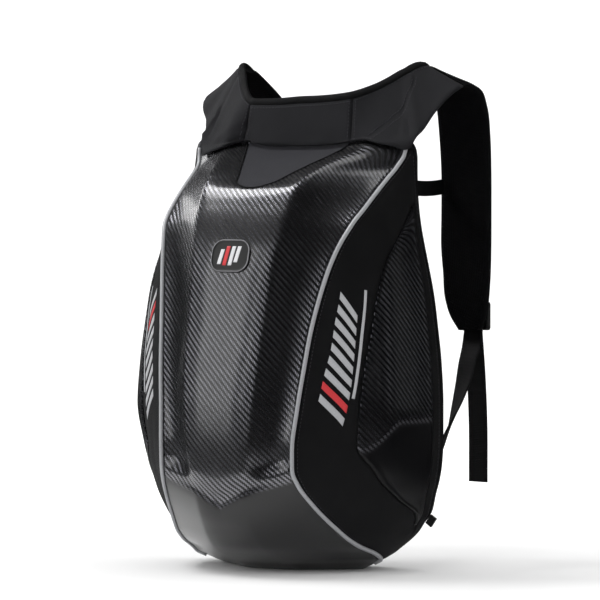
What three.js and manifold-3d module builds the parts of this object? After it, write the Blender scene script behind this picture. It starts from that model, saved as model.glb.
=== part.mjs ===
// Motorcycle backpack with a moulded front shell, standing on its base.
// Millimetres. -Y is the shell side, +Y the wearer's side, +Z up.
// A depth ("out") is measured forward from the back plane, so y = BACK_Y - out.
import * as THREE from 'three';
import Module from 'manifold-3d';

const wasm = await Module();
wasm.setup();

// Driving sizes of the bag
const BODY_HEIGHT = 417;
const BODY_WIDTH = 306;
const BODY_DEPTH = 172;
const BACK_Y = 25;
const SHELL_WALL = 4;
const CLOTH_WALL = 3;
const GAP = 0.3;
const TWISTED_GAP = 0.7;
const SLIVER = 0.02;

// Relief of the moulded front
const VALLEY_DEPTH = 12;
const CREASE_HEIGHT = 72;
const CREASE_RISE = 28;
const CREASE_DIP = 3;
const CREASE_SPREAD = 8;
const SIDE_PUFF = 2;

// Trim on the body
const PIPING_WIDTH = 3.8;
const PIPING_PROUD = 1.6;
const BINDING_RADIUS = 3.5;
const GUSSET_SHARE = 0.82;
const LEAST_REAR_SHARE = 0.4;
const BACK_PAD = 8;
const BACK_PAD_WIDTH_SHARE = 0.93;
const BACK_PAD_HEIGHT_SHARE = 0.965;
const INSET_RECESS = 0.8;
const INSET_WALL = 2.2;
const INSET_WIDTH = 120;
const INSET_LENGTH = 98;
const INSET_TIP_OUT = 107;
const EMBLEM_WIDTH = 42;
const EMBLEM_HEIGHT = 31;
const EMBLEM_THICKNESS = 2.4;
const EMBLEM_CENTRE = 305;
const EMBLEM_CORNER = 12;
const TAB_HEIGHT = 10;
const TAB_REACH = 7;
const TAB_THICKNESS = 3;
const TAB_CENTRE = 50;

// Shoulder yoke and straps
const YOKE_THICKNESS = 5;
const YOKE_RISE = 75;
const NECK_BINDING_WIDTH = 8;
const NECK_BINDING_THICKNESS = 7;
const STRAP_WIDTH = 64.5;
const STRAP_THICKNESS = 9;
const STRAP_ROOT_SHARE = 0.8;
const STRAP_REACH = 107;
const STRAP_SPREAD = 119.8;
const STRAP_DROP = 189;
const STRAP_YAW = 14;
const LEFT_DROOP = 14;
const LEFT_TUCK = 17;

// Webbing and buckles
const WEBBING_WIDTH = 25;
const WEBBING_THICKNESS = 1.6;
const STABILISER_WIDTH = 15;
const STABILISER_HEIGHT = 369;
const TAIL_LENGTH = 150;
const TAIL_BOW = 4;
const TAIL_LEAN = 3;
const STABILISER_SAG = 1;
const ANCHOR_HEIGHT = 118;
const ANCHOR_SPREAD = 148;
const ANCHOR_TILT = 75;
const ADJUSTER_TURN = 1.2;
const BUCKLE_WIDTH = 38;
const BUCKLE_HEIGHT = 28;
const BUCKLE_THICKNESS = 6;
const BUCKLE_BAR = 5;

const HALF_WIDTH = BODY_WIDTH / 2;
const REAR = BINDING_RADIUS + GAP;

// Sections of the body from the base to the top, one row each. Heights are shares of the
// body's height, sideways places shares of its half width, depths ("Out") shares of its depth.
// "panel" is the station where the side shell begins, between the piping at 2 and the edge at 4.
const COLUMNS = ['height', 'edge', 'bulge', 'bulgeOut', 'piping', 'pipingOut', 'ridge',
  'ridgeOut', 'centreOut', 'panel'];
const SECTIONS = [
  [0.000, 0.431, 0.412, 0.000, 0.392, 0.000, 0.157, 0.000, 0.000, 3.10],
  [0.000, 0.431, 0.438, 0.019, 0.458, 0.061, 0.183, 0.168, 0.180, 3.10],
  [0.000, 0.431, 0.454, 0.037, 0.497, 0.108, 0.196, 0.322, 0.346, 3.20],
  [0.018, 0.549, 0.588, 0.067, 0.621, 0.156, 0.196, 0.453, 0.477, 3.30],
  [0.030, 0.608, 0.654, 0.078, 0.680, 0.185, 0.196, 0.554, 0.584, 3.35],
  [0.044, 0.680, 0.693, 0.108, 0.673, 0.251, 0.196, 0.649, 0.679, 3.45],
  [0.062, 0.758, 0.732, 0.180, 0.644, 0.376, 0.190, 0.744, 0.774, 3.55],
  [0.086, 0.830, 0.765, 0.251, 0.616, 0.489, 0.186, 0.810, 0.839, 3.66],
  [0.106, 0.868, 0.786, 0.285, 0.592, 0.556, 0.182, 0.850, 0.880, 3.70],
  [0.134, 0.922, 0.810, 0.328, 0.559, 0.643, 0.176, 0.899, 0.929, 3.60],
  [0.173, 0.948, 0.837, 0.370, 0.520, 0.750, 0.176, 0.941, 0.964, 3.20],
  [0.211, 0.977, 0.859, 0.400, 0.489, 0.834, 0.183, 0.967, 0.988, 2.94],
  [0.249, 0.993, 0.882, 0.429, 0.473, 0.878, 0.199, 0.979, 0.997, 2.82],
  [0.300, 1.000, 0.902, 0.459, 0.475, 0.881, 0.232, 0.979, 1.000, 2.67],
  [0.384, 1.000, 0.922, 0.495, 0.493, 0.854, 0.255, 0.970, 0.994, 2.685],
  [0.480, 0.987, 0.912, 0.477, 0.520, 0.816, 0.270, 0.941, 0.964, 2.715],
  [0.564, 0.961, 0.895, 0.450, 0.543, 0.774, 0.275, 0.896, 0.920, 2.78],
  [0.635, 0.935, 0.874, 0.423, 0.571, 0.727, 0.283, 0.857, 0.881, 2.83],
  [0.707, 0.895, 0.846, 0.376, 0.607, 0.667, 0.290, 0.822, 0.845, 2.94],
  [0.755, 0.866, 0.827, 0.328, 0.639, 0.611, 0.301, 0.786, 0.810, 3.12],
  [0.803, 0.840, 0.810, 0.263, 0.680, 0.530, 0.314, 0.735, 0.759, 3.38],
  [0.844, 0.825, 0.797, 0.206, 0.703, 0.405, 0.327, 0.679, 0.700, 3.62],
  [0.887, 0.816, 0.781, 0.132, 0.716, 0.257, 0.337, 0.611, 0.614, 3.58],
  [0.911, 0.814, 0.778, 0.084, 0.722, 0.168, 0.343, 0.542, 0.477, 3.50],
  [0.935, 0.813, 0.775, 0.046, 0.731, 0.081, 0.379, 0.417, 0.322, 3.40],
  [0.959, 0.813, 0.778, 0.025, 0.752, 0.037, 0.438, 0.257, 0.162, 3.20],
  [0.976, 0.808, 0.782, 0.016, 0.758, 0.025, 0.477, 0.144, 0.073, 3.10],
  [0.988, 0.797, 0.778, 0.008, 0.758, 0.015, 0.490, 0.084, 0.037, 3.08],
  [1.000, 0.760, 0.743, 0.000, 0.722, 0.000, 0.458, 0.000, 0.000, 3.05],
].map(values => Object.fromEntries(COLUMNS.map((name, i) => [name, values[i]])));

// Rows (by index in SECTIONS) where one piece of the body gives way to another
const BASE_LIP = 3;
const SHELL_FOOT = 8;
const SHELL_TIP = 21;
const TOP_LIP = 26;
const LAST_ROW = SECTIONS.length - 1;
const CHIN_ROWS = [9, 13];

// Stations across a section
const CENTRE = 0;
const RIDGE = 1;
const PIPING = 2;
const BULGE = 3;
const EDGE = 4;

// Neckline and lower edge of a yoke wing, one row each from the centre seam to the shoulder.
// "neckX" and "outerX" are shares of the half width, "neckOut" and "outerOut" of the strap's reach,
// lifts are shares of the yoke's rise above the body, droops of the left side's droop. The left
// wing's lower edge is drawn in by "tuck" and forward over the body by "wrap", shares of its tuck.
const WING_COLUMNS = ['neckX', 'neckOut', 'neckLift', 'neckDroop', 'outerX', 'outerOut',
  'outerLift', 'outerDroop', 'tuck', 'wrap'];
const WING = [
  [0.373, 0.051, 0.613, 0.45, 0.392, 0.150, -0.067, 0.0, 0.00, 0.00],
  [0.431, -0.028, 0.660, 0.40, 0.484, 0.150, -0.045, 0.47, 0.00, 1.00],
  [0.490, -0.131, 0.727, 0.30, 0.575, 0.165, -0.067, 0.64, 0.06, 0.81],
  [0.542, -0.234, 0.813, 0.20, 0.680, 0.135, -0.100, 0.61, 0.41, 0.70],
  [0.582, -0.318, 0.893, 0.10, 0.781, 0.098, -0.140, 0.39, 0.94, 0.68],
  [0.605, -0.360, 0.925, 0.05, 0.822, 0.047, 0.010, 0.7, 1.00, 0.18],
  [0.618, -0.388, 0.953, 0.00, 0.836, -0.056, 0.105, 0.43, 0.82, 0.24],
  [0.640, -0.439, 0.987, 0.00, 0.863, -0.243, 0.360, 0.7, 0.18, 0.00],
  [0.652, -0.495, 0.993, 0.00, 0.915, -0.364, 0.547, 0.9, 0.00, 0.00],
  [0.647, -0.542, 0.973, 0.00, 0.961, -0.486, 0.667, 1.0, 0.00, 0.00],
].map(values => Object.fromEntries(WING_COLUMNS.map((name, i) => [name, values[i]])));

// Rows of the yoke's centre panel from the middle to the seam, each a share of the way across
const YOKE_CENTRE = [
  { across: 0, neckOut: 0.093, neckLift: 0.547, outerOut: 0.165, outerLift: -0.110 },
  { across: 0.35, neckOut: 0.090, neckLift: 0.556, outerOut: 0.165, outerLift: -0.105 },
  { across: 0.7, neckOut: 0.078, neckLift: 0.577, outerOut: 0.160, outerLift: -0.090 },
];

// Centre line of a strap from the shoulder down. "spread" is a share of the strap's spread, "reach"
// of its reach, "lift" of the yoke's rise, "drop" of the strap's drop, "width" of its width.
const STRAP_COLUMNS = ['spread', 'reach', 'lift', 'drop', 'width', 'yaw', 'roll', 'droop'];
const STRAP = [
  [1.047, 0.673, 0.713, 0.0, 0.862, 0.3, 13, 1.0],
  [1.023, 0.841, 0.433, 0.0, 0.938, 0.5, 5, 0.6],
  [1.006, 0.944, 0.000, 0.0, 0.980, 0.8, 0, 0.3],
  [1.000, 0.990, 0.000, 0.17, 1.000, 1.0, 0, 0.0],
  [1.000, 1.000, 0.000, 0.38, 1.000, 1.0, 0, 0.0],
  [1.000, 1.005, 0.000, 0.58, 1.000, 1.0, 0, 0.0],
  [1.007, 1.010, 0.000, 0.70, 0.950, 1.0, 0, 0.0],
  [1.012, 1.012, 0.000, 0.845, 0.860, 1.0, 0, 0.0],
  [1.028, 1.015, 0.000, 0.935, 0.700, 1.0, 0, 0.0],
  [1.040, 1.020, 0.000, 1.000, 0.430, 1.0, 0, 0.0],
].map(values => Object.fromEntries(STRAP_COLUMNS.map((name, i) => [name, values[i]])));

// Materials
const finish = (color, roughness, metalness = 0) =>
  new THREE.MeshStandardMaterial({ color, roughness, metalness });
const FINISHES = {
  carbon: () => finish(0x1b1c1f, 0.35),
  cloth: () => finish(0x161718, 0.85),
  neoprene: () => finish(0x1d1e21, 0.8),
  mesh: () => finish(0x1f2022, 0.9),
  reflective: () => finish(0xb9bcc0, 0.45),
  webbing: () => finish(0x131315, 0.8),
  plastic: () => finish(0x141416, 0.5),
};

// A section's sizes at any row, between two rows of the table by straight proportion
function section(row) {
  const low = Math.min(Math.floor(row), LAST_ROW - 1);
  const share = row - low;
  const mix = name => THREE.MathUtils.lerp(SECTIONS[low][name], SECTIONS[low + 1][name], share);
  const depth = name => REAR + mix(name) * (BODY_DEPTH - REAR);
  return {
    z: mix('height') * BODY_HEIGHT,
    panel: mix('panel'),
    centre: [0, depth('centreOut')],
    ridge: [mix('ridge') * HALF_WIDTH, depth('ridgeOut')],
    piping: [mix('piping') * HALF_WIDTH, depth('pipingOut')],
    bulge: [mix('bulge') * HALF_WIDTH, depth('bulgeOut')],
    edge: [mix('edge') * HALF_WIDTH, 0],
  };
}

// How far the moulded front sinks below the straight line of its section: the chin stays full,
// and above the crease the facets beside the plateau are hollow.
function frontSink(z, station) {
  const level = z - CREASE_RISE * station / PIPING;
  const above = THREE.MathUtils.smoothstep(level, CREASE_HEIGHT, CREASE_HEIGHT + 2 * CREASE_SPREAD);
  const fade = THREE.MathUtils.lerp(1, 0.3, THREE.MathUtils.smoothstep(z, CREASE_HEIGHT, BODY_HEIGHT * 0.6));
  const across = station > RIDGE ? 4 * (station - RIDGE) * (PIPING - station) : 0;
  const crease = Math.exp(-(((level - CREASE_HEIGHT) / CREASE_SPREAD) ** 2));
  const chin = z < CREASE_HEIGHT * 2.5 ? CREASE_DIP * crease * (1 - (station / PIPING) ** 6) : 0;
  return VALLEY_DEPTH * above * fade * across * (0.6 + 0.4 * (station - RIDGE)) + chin;
}

// A point on the line between two section corners, moved outward by "puff"
function alongFacet(from, to, share, puff) {
  const dx = to[0] - from[0];
  const dOut = to[1] - from[1];
  const length = Math.hypot(dx, dOut) || 1;
  return [
    from[0] + dx * share - dOut / length * puff,
    from[1] + dOut * share + dx / length * puff,
  ];
}

function place(x, out, z) {
  return new THREE.Vector3(x, BACK_Y - out, z);
}

// The outer surface of the body. Negative stations are the left side.
function surface(row, station) {
  const s = Math.abs(station);
  const at = section(row);
  const z = at.z;
  let x;
  let out;
  const lift = Math.min(1, z / (BODY_HEIGHT * 0.15), (BODY_HEIGHT - z) / (BODY_HEIGHT * 0.15));
  if (s <= RIDGE) {
    const share = 1 - s ** 2.5;
    x = at.ridge[0] * s;
    out = at.ridge[1] + (at.centre[1] - at.ridge[1]) * share - lift * frontSink(z, s);
  } else if (s <= PIPING) {
    [x, out] = alongFacet(at.ridge, at.piping, s - RIDGE, -lift * frontSink(z, s));
  } else if (s <= BULGE) {
    const share = s - PIPING;
    [x, out] = alongFacet(at.piping, at.bulge, share, lift * SIDE_PUFF * 4 * share * (1 - share));
  } else {
    const share = s - BULGE;
    [x, out] = alongFacet(at.bulge, at.edge, share, lift * SIDE_PUFF * 4 * share * (1 - share));
  }
  return place(station < 0 ? -x : x, out, z);
}

function normalAt(row, station) {
  const rowStep = 0.45;
  const stationStep = 0.06;
  const down = surface(Math.max(row - rowStep, 0), station);
  const up = surface(Math.min(row + rowStep, LAST_ROW), station);
  const left = surface(row, Math.max(station - stationStep, -EDGE));
  const right = surface(row, Math.min(station + stationStep, EDGE));
  return right.sub(left).cross(up.sub(down)).normalize();
}

// The station reached from another by going "distance" mm along the section
function shift(row, station, distance) {
  const probe = 0.02 * Math.sign(distance);
  const step = surface(row, station + probe).distanceTo(surface(row, station));
  return station + probe * Math.abs(distance) / step;
}

// The station where the body ends against the edge binding, kept clear of the bulge corner
function rearStation(row) {
  const { bulge } = section(row);
  return BULGE + Math.max(1 - REAR / bulge[1], LEAST_REAR_SHARE);
}

function gussetStation(row) {
  return BULGE + GUSSET_SHARE * (rearStation(row) - BULGE);
}

function panelStation(row) {
  return Math.min(section(row).panel, gussetStation(row) - 0.06);
}

function between(row, from, to, share) {
  return THREE.MathUtils.lerp(from(row), to(row), share);
}

// Columns of the right half, as functions of the row, with the node that fills each cell.
// Columns with the same "lean" offset along one normal, so the walls they part stay parallel.
const sideStart = row => shift(row, PIPING, PIPING_WIDTH / 2 + GAP);
const panelEnd = row => shift(row, panelStation(row), -GAP / 2);
const shellStart = row => shift(row, panelStation(row), GAP / 2);
const shellEnd = row => shift(row, gussetStation(row), -GAP / 2);
const gussetStart = row => shift(row, gussetStation(row), GAP / 2);
const shellCrease = row => Math.max(BULGE, between(row, shellStart, shellEnd, 0.4));
const HALF_COLUMNS = [
  { at: () => CENTRE, fills: 'front' },
  { at: () => 0.4, fills: 'front' },
  { at: () => 0.75, fills: 'front' },
  { at: () => 0.93, fills: 'front' },
  { at: () => RIDGE, fills: 'front' },
  { at: () => 1.1, fills: 'front' },
  { at: () => 1.35, fills: 'front' },
  { at: () => 1.6, fills: 'front' },
  { at: () => 1.82, fills: 'front' },
  { at: row => shift(row, PIPING, -PIPING_WIDTH / 2 - GAP), fills: 'gap', lean: () => PIPING },
  { at: row => shift(row, PIPING, -PIPING_WIDTH / 2), fills: 'piping', lean: () => PIPING },
  { at: () => PIPING, fills: 'piping', proud: PIPING_PROUD },
  { at: row => shift(row, PIPING, PIPING_WIDTH / 2), fills: 'gap', lean: () => PIPING },
  { at: sideStart, fills: 'panel', lean: () => PIPING },
  { at: row => between(row, sideStart, panelEnd, 0.36), fills: 'panel' },
  { at: row => between(row, sideStart, panelEnd, 0.7), fills: 'panel' },
  { at: panelEnd, fills: 'panelGap', lean: panelStation },
  { at: shellStart, fills: 'shell', lean: panelStation },
  { at: row => between(row, shellStart, shellCrease, 0.5), fills: 'shell' },
  { at: shellCrease, fills: 'shell' },
  { at: row => between(row, shellCrease, shellEnd, 0.5), fills: 'shell' },
  { at: shellEnd, fills: 'gap', lean: gussetStation },
  { at: gussetStart, fills: 'gusset', lean: gussetStation },
  { at: row => between(row, gussetStart, rearStation, 0.5), fills: 'gusset' },
  { at: rearStation, fills: 'end' },
];

// A row a little above (step 1) or below (step -1) another, far enough for two pieces to part
function rowAway(row, step) {
  const shares = [PIPING, BULGE, rearStation(row)].map(station =>
    GAP * 1.2 / surface(row, station).distanceTo(surface(row + step, station)));
  return row + step * Math.max(...shares);
}

function rowsBetween(first, last) {
  const rows = [];
  for (let row = first; row <= last; row += 1) {
    rows.push(row);
    if (row >= CHIN_ROWS[0] && row < CHIN_ROWS[1]) rows.push(row + 0.5);
  }
  return rows;
}

// Rows of the body's mesh from the base to the top, each with what the cells above it hold:
// "lip" is front shell from edge to edge, "cloth" has no side shell, "split" parts two bands
const ROWS = [
  ...rowsBetween(0, BASE_LIP - 1).map(row => ({ row, band: 'lip' })),
  { row: BASE_LIP, band: 'split' },
  { row: rowAway(BASE_LIP, 1), band: 'cloth', lean: BASE_LIP },
  ...rowsBetween(BASE_LIP + 1, SHELL_FOOT - 1).map(row => ({ row, band: 'cloth' })),
  { row: rowAway(SHELL_FOOT, -1), band: 'shellSplit', lean: SHELL_FOOT },
  ...rowsBetween(SHELL_FOOT, SHELL_TIP - 1).map(row => ({ row, band: 'shell' })),
  { row: SHELL_TIP, band: 'shellSplit' },
  { row: rowAway(SHELL_TIP, 1), band: 'cloth', lean: SHELL_TIP },
  ...rowsBetween(SHELL_TIP + 1, TOP_LIP - 1).map(row => ({ row, band: 'cloth' })),
  { row: rowAway(TOP_LIP, -1), band: 'split', lean: TOP_LIP },
  ...rowsBetween(TOP_LIP, LAST_ROW - 1).map(row => ({ row, band: 'lip' })),
  { row: LAST_ROW, band: 'end' },
];

// Which piece a cell belongs to, from its band and its column
const BAND_RULES = {
  lip: () => 'front',
  split: fills => (fills === 'front' ? 'front' : 'gap'),
  cloth: fills => (fills === 'panelGap' || fills === 'shell' ? 'panel' : fills),
  shellSplit: fills => (fills === 'panelGap' || fills === 'shell' ? 'gap' : fills),
  shell: fills => fills,
  end: () => 'gap',
};

const COLUMN_COUNT = HALF_COLUMNS.length - 1;
const sideways = j => Math.abs(j - COLUMN_COUNT);
const cellFill = (i, j) =>
  BAND_RULES[ROWS[i].band](HALF_COLUMNS[Math.min(sideways(j), sideways(j + 1))].fills);

// Where the body meets the bound edge its wall ends in a plane facing back
function wallNormal(i, j) {
  const { at, lean = at } = HALF_COLUMNS[sideways(j)];
  const { row, lean: leanRow = row } = ROWS[i];
  const normal = normalAt(leanRow, lean(leanRow) * (j < COLUMN_COUNT ? -1 : 1));
  const ends = i === 0 || i === ROWS.length - 1 || sideways(j) === COLUMN_COUNT;
  return ends ? normal.setY(0).normalize() : normal;
}

function gridPoint(i, j, offset, piece) {
  const column = HALF_COLUMNS[sideways(j)];
  const station = column.at(ROWS[i].row) * (j < COLUMN_COUNT ? -1 : 1);
  const proud = piece === 'piping' && offset >= 0 ? column.proud ?? 0 : 0;
  const point = surface(ROWS[i].row, station).addScaledVector(wallNormal(i, j), offset + proud);
  return point.setY(Math.min(point.y, BACK_Y - REAR));
}

function indexed(vertices, faces) {
  const geometry = new THREE.BufferGeometry();
  geometry.setAttribute('position', new THREE.Float32BufferAttribute(vertices, 3));
  geometry.setIndex(faces);
  return geometry;
}

// A closed wall over the body's cells that a test picks, between two offsets from the surface.
// Columns run from the left edge (0) over the centre (COLUMN_COUNT) to the right edge. Diagonals
// are mirrored from side to side, and run alike on walls that face each other.
function bodyWall(piece, picks, outer, inner) {
  const vertices = [];
  const faces = [];
  const known = new Map();
  const vertex = (i, j, side) => {
    const key = `${i},${j},${side}`;
    if (!known.has(key)) {
      known.set(key, vertices.length / 3);
      vertices.push(...gridPoint(i, j, side ? outer : inner, piece).toArray());
    }
    return known.get(key);
  };
  const filled = (i, j) =>
    i >= 0 && j >= 0 && i < ROWS.length - 1 && j < 2 * COLUMN_COUNT && picks(i, j);
  const quad = (a, b, c, d) => faces.push(a, b, c, a, c, d);
  for (let i = 0; i < ROWS.length - 1; i += 1) {
    for (let j = 0; j < 2 * COLUMN_COUNT; j += 1) {
      if (!filled(i, j)) continue;
      const corners = side => [
        vertex(i, j, side), vertex(i, j + 1, side), vertex(i + 1, j + 1, side), vertex(i + 1, j, side),
      ];
      const [a, b, c, d] = corners(1);
      const [e, f, g, h] = corners(0);
      const turned = (j < COLUMN_COUNT) !== (i === 0);
      const across = turned ? (p, q, r, t) => quad(q, r, t, p) : quad;
      across(a, b, c, d);
      across(e, h, g, f);
      if (!filled(i - 1, j)) across(a, e, f, b);
      if (!filled(i + 1, j)) across(d, c, g, h);
      if (!filled(i, j - 1)) quad(a, d, h, e);
      if (!filled(i, j + 1)) quad(b, f, g, c);
    }
  }
  return indexed(vertices, faces);
}

const rightHalf = piece => (i, j) => j >= COLUMN_COUNT && cellFill(i, j) === piece;

function reversed(geometry) {
  const index = Array.from(geometry.getIndex().array);
  for (let i = 0; i < index.length; i += 3) [index[i], index[i + 1]] = [index[i + 1], index[i]];
  geometry.setIndex(index);
  return geometry;
}

const mirrored = geometry => reversed(geometry.clone().scale(-1, 1, 1));

// Joins and cuts
function solid(geometry) {
  const position = geometry.getAttribute('position');
  const index = geometry.index ? Array.from(geometry.index.array) : [...Array(position.count).keys()];
  const places = new Map();
  const vertices = [];
  const corner = i => {
    const at = [position.getX(i), position.getY(i), position.getZ(i)];
    const key = at.map(value => value.toFixed(3)).join();
    if (!places.has(key)) {
      places.set(key, vertices.length / 3);
      vertices.push(...at);
    }
    return places.get(key);
  };
  const faces = [];
  for (let i = 0; i < index.length; i += 3) {
    const [a, b, c] = [corner(index[i]), corner(index[i + 1]), corner(index[i + 2])];
    if (a !== b && b !== c && c !== a) faces.push(a, b, c);
  }
  return new wasm.Manifold(new wasm.Mesh({
    numProp: 3,
    vertProperties: new Float32Array(vertices),
    triVerts: new Uint32Array(faces),
  }));
}

function largestPart(body) {
  const parts = body.decompose();
  return parts.reduce((best, part) => (part.volume() > best.volume() ? part : best));
}

function fromSolid(body) {
  const mesh = largestPart(body).simplify(SLIVER).getMesh();
  return indexed(Array.from(mesh.vertProperties), Array.from(mesh.triVerts));
}

// Outline of the back edge in the XZ plane, from the base up the right side and back down
function backOutline(widthShare = 1, heightShare = 1) {
  const right = SECTIONS.slice(2).map((values, i) => {
    const { edge, z } = section(i + 2);
    return new THREE.Vector2(edge[0] * widthShare, z * heightShare);
  });
  return [...right, ...right.map(point => new THREE.Vector2(-point.x, point.y)).reverse()];
}

function inset(points, distance) {
  return points.map((point, i) => {
    const before = points[(i + points.length - 1) % points.length];
    const after = points[(i + 1) % points.length];
    const into = point.clone().sub(before).normalize();
    const away = after.clone().sub(point).normalize();
    const normal = new THREE.Vector2(-into.y - away.y, into.x + away.x).normalize();
    const reach = distance / Math.max(0.4, normal.dot(new THREE.Vector2(-into.y, into.x)));
    return point.clone().addScaledVector(normal, reach);
  });
}

// A flat piece in the XZ plane with softened edges, from one depth back to another
function plateXZ(points, hole, frontOut, rearOut, soften) {
  const shape = new THREE.Shape(points);
  if (hole) shape.holes.push(new THREE.Path(hole));
  const geometry = new THREE.ExtrudeGeometry(shape, {
    depth: frontOut - rearOut - 2 * soften,
    bevelEnabled: soften > 0,
    bevelThickness: soften,
    bevelSize: soften,
    bevelOffset: -soften,
    bevelSegments: 1,
  });
  geometry.rotateX(Math.PI / 2);
  return geometry.translate(0, BACK_Y - rearOut - soften, 0);
}

// A flat prism standing on a plan outline of [x, out] points
function prismZ(points, bottom, top) {
  const shape = new THREE.Shape(points.map(([x, out]) => new THREE.Vector2(x, BACK_Y - out)));
  return new THREE.ExtrudeGeometry(shape, { depth: top - bottom, bevelEnabled: false })
    .translate(0, 0, bottom);
}

function insetPlan(margin) {
  const half = INSET_WIDTH / 2 - margin;
  const rear = INSET_TIP_OUT - INSET_LENGTH + margin;
  const tip = INSET_TIP_OUT - margin;
  const points = [[-half, rear]];
  for (let step = -3; step <= 3; step += 1) {
    const turn = step / 3;
    points.push([half * 0.42 * Math.sin(turn * 1.4), tip - half * 0.36 * (1 - Math.cos(turn * 1.4))]);
  }
  points.push([half, rear]);
  return points;
}

function roundedRectangle(width, height, radius, centre = 0) {
  const points = [];
  const corners = [[1, 1], [-1, 1], [-1, -1], [1, -1]];
  corners.forEach(([sx, sy], quarter) => {
    for (let step = 0; step <= 2; step += 1) {
      const angle = (quarter + step / 2) * Math.PI / 2;
      points.push(new THREE.Vector2(
        sx * (width / 2 - radius) + radius * Math.cos(angle),
        centre + sy * (height / 2 - radius) + radius * Math.sin(angle),
      ));
    }
  });
  return points;
}

// Ribbons: soft bands and webbing lofted through pairs of edge points
const SOFT_PROFILE = [[0, 0.35], [0.06, 0.8], [0.3, 1], [0.7, 1], [0.94, 0.8], [1, 0.35]];
const FLAT_PROFILE = [[0, 1], [1, 1]];

// Rows of one chain with the normal of each, so that pieces cut from the chain stay parallel
function withNormals(rows) {
  const middle = row => row.a.clone().add(row.b).multiplyScalar(0.5);
  return rows.map((row, i) => {
    const before = middle(rows[Math.max(i - 1, 0)]);
    const after = middle(rows[Math.min(i + 1, rows.length - 1)]);
    const across = row.b.clone().sub(row.a);
    return { ...row, normal: across.cross(after.sub(before)).normalize() };
  });
}

function ribbon(rows, thickness, profile) {
  const vertices = [];
  const faces = [];
  const ring = 2 * profile.length;
  rows.forEach(row => {
    const half = thickness * (row.thickness ?? 1) / 2;
    const point = ([share, fullness], side) =>
      row.a.clone().lerp(row.b, share).addScaledVector(row.normal, side * half * fullness);
    profile.forEach(part => vertices.push(...point(part, 1).toArray()));
    [...profile].reverse().forEach(part => vertices.push(...point(part, -1).toArray()));
  });
  for (let i = 0; i < rows.length - 1; i += 1) {
    for (let k = 0; k < ring; k += 1) {
      const [a, b] = [i * ring + k, i * ring + (k + 1) % ring];
      if (k < profile.length) faces.push(a, b, b + ring, a, b + ring, a + ring);
      else faces.push(a, b, a + ring, b, b + ring, a + ring);
    }
  }
  const last = (rows.length - 1) * ring;
  for (let k = 0; k < profile.length - 1; k += 1) {
    const [a, b, c, d] = [k, k + 1, ring - 2 - k, ring - 1 - k];
    faces.push(a, d, c, a, c, b);
    faces.push(last + a, last + b, last + c, last + a, last + c, last + d);
  }
  return outward(indexed(vertices, faces));
}

function outward(geometry) {
  const position = geometry.getAttribute('position');
  const index = geometry.getIndex().array;
  const corner = i => new THREE.Vector3().fromBufferAttribute(position, index[i]);
  let volume = 0;
  for (let i = 0; i < index.length; i += 3) volume += corner(i).dot(corner(i + 1).cross(corner(i + 2)));
  return volume < 0 ? reversed(geometry) : geometry;
}

// Yoke
const droop = (side, share) => (side < 0 ? LEFT_DROOP * share : 0);
const tuck = (side, share) => (side < 0 ? LEFT_TUCK * share : 0);
const SEAM = WING[0];
function yokeRow(side, row, across = 1) {
  const lift = (share, drooped) => BODY_HEIGHT + share * YOKE_RISE - droop(side, drooped * across);
  const width = side * HALF_WIDTH;
  return {
    a: place(width * row.neckX, row.neckOut * STRAP_REACH, lift(row.neckLift, row.neckDroop)),
    b: place(
      width * row.outerX - side * tuck(side, row.tuck),
      row.outerOut * STRAP_REACH + tuck(side, row.wrap),
      lift(row.outerLift, row.outerDroop),
    ),
  };
}

function centreRow(side, row) {
  const full = {
    ...row,
    neckX: SEAM.neckX * row.across,
    outerX: SEAM.outerX * row.across,
    neckDroop: SEAM.neckDroop,
    outerDroop: 0,
    tuck: 0,
    wrap: 0,
  };
  return yokeRow(side, full, row.across);
}

function strapRow(side, row) {
  const yaw = THREE.MathUtils.degToRad(STRAP_YAW * row.yaw);
  const roll = THREE.MathUtils.degToRad(row.roll);
  const half = STRAP_WIDTH * row.width / 2;
  const z = BODY_HEIGHT + row.lift * YOKE_RISE - row.drop * STRAP_DROP - droop(side, row.droop);
  const x = STRAP_SPREAD * row.spread;
  const out = -STRAP_REACH * row.reach;
  const step = [Math.cos(yaw) * Math.cos(roll), Math.sin(yaw) * Math.cos(roll), -Math.sin(roll)];
  const end = way => {
    const reach = way * half;
    return place(side * (x + reach * step[0]), out + reach * step[1], z + reach * step[2]);
  };
  return { a: end(-1), b: end(1) };
}

const YOKE_HALF = YOKE_CENTRE.length;
const yokeHalf = side => [
  ...YOKE_CENTRE.map(row => centreRow(side, row)),
  ...WING.map(row => yokeRow(side, row)),
  ...STRAP.map(row => strapRow(side, row)),
];

// Yoke and straps as one chain of rows from the end of the left strap to that of the right
const CHAIN = withNormals([...yokeHalf(-1).reverse(), ...yokeHalf(1).slice(1)]);
const SHOULDER = YOKE_HALF + WING.length - 1;
const FOOT = (CHAIN.length - 1) / 2;
const chainRow = (side, index) => CHAIN[FOOT + side * index];

// Rows of one side between two places of the chain, going outward
function chainRows(side, first, last) {
  return Array.from({ length: last - first + 1 }, (_, i) => chainRow(side, first + i));
}

// A row moved along the chain towards another, keeping its own normal
function towards(row, other, distance) {
  const share = distance / row.a.distanceTo(other.a);
  return { ...row, a: row.a.clone().lerp(other.a, share), b: row.b.clone().lerp(other.b, share) };
}

const withFirst = rows => [towards(rows[0], rows[1], GAP / 2), ...rows.slice(1)];
const withLast = rows => withFirst([...rows].reverse()).reverse();

// The strip of a row next to the neck, and what is left of the row beside it
function neckStrip(row) {
  const share = NECK_BINDING_WIDTH / row.a.distanceTo(row.b);
  return { ...row, b: row.a.clone().lerp(row.b, share) };
}

function besideNeck(row) {
  const share = (NECK_BINDING_WIDTH + TWISTED_GAP) / row.a.distanceTo(row.b);
  return { ...row, a: row.a.clone().lerp(row.b, share) };
}

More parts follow.
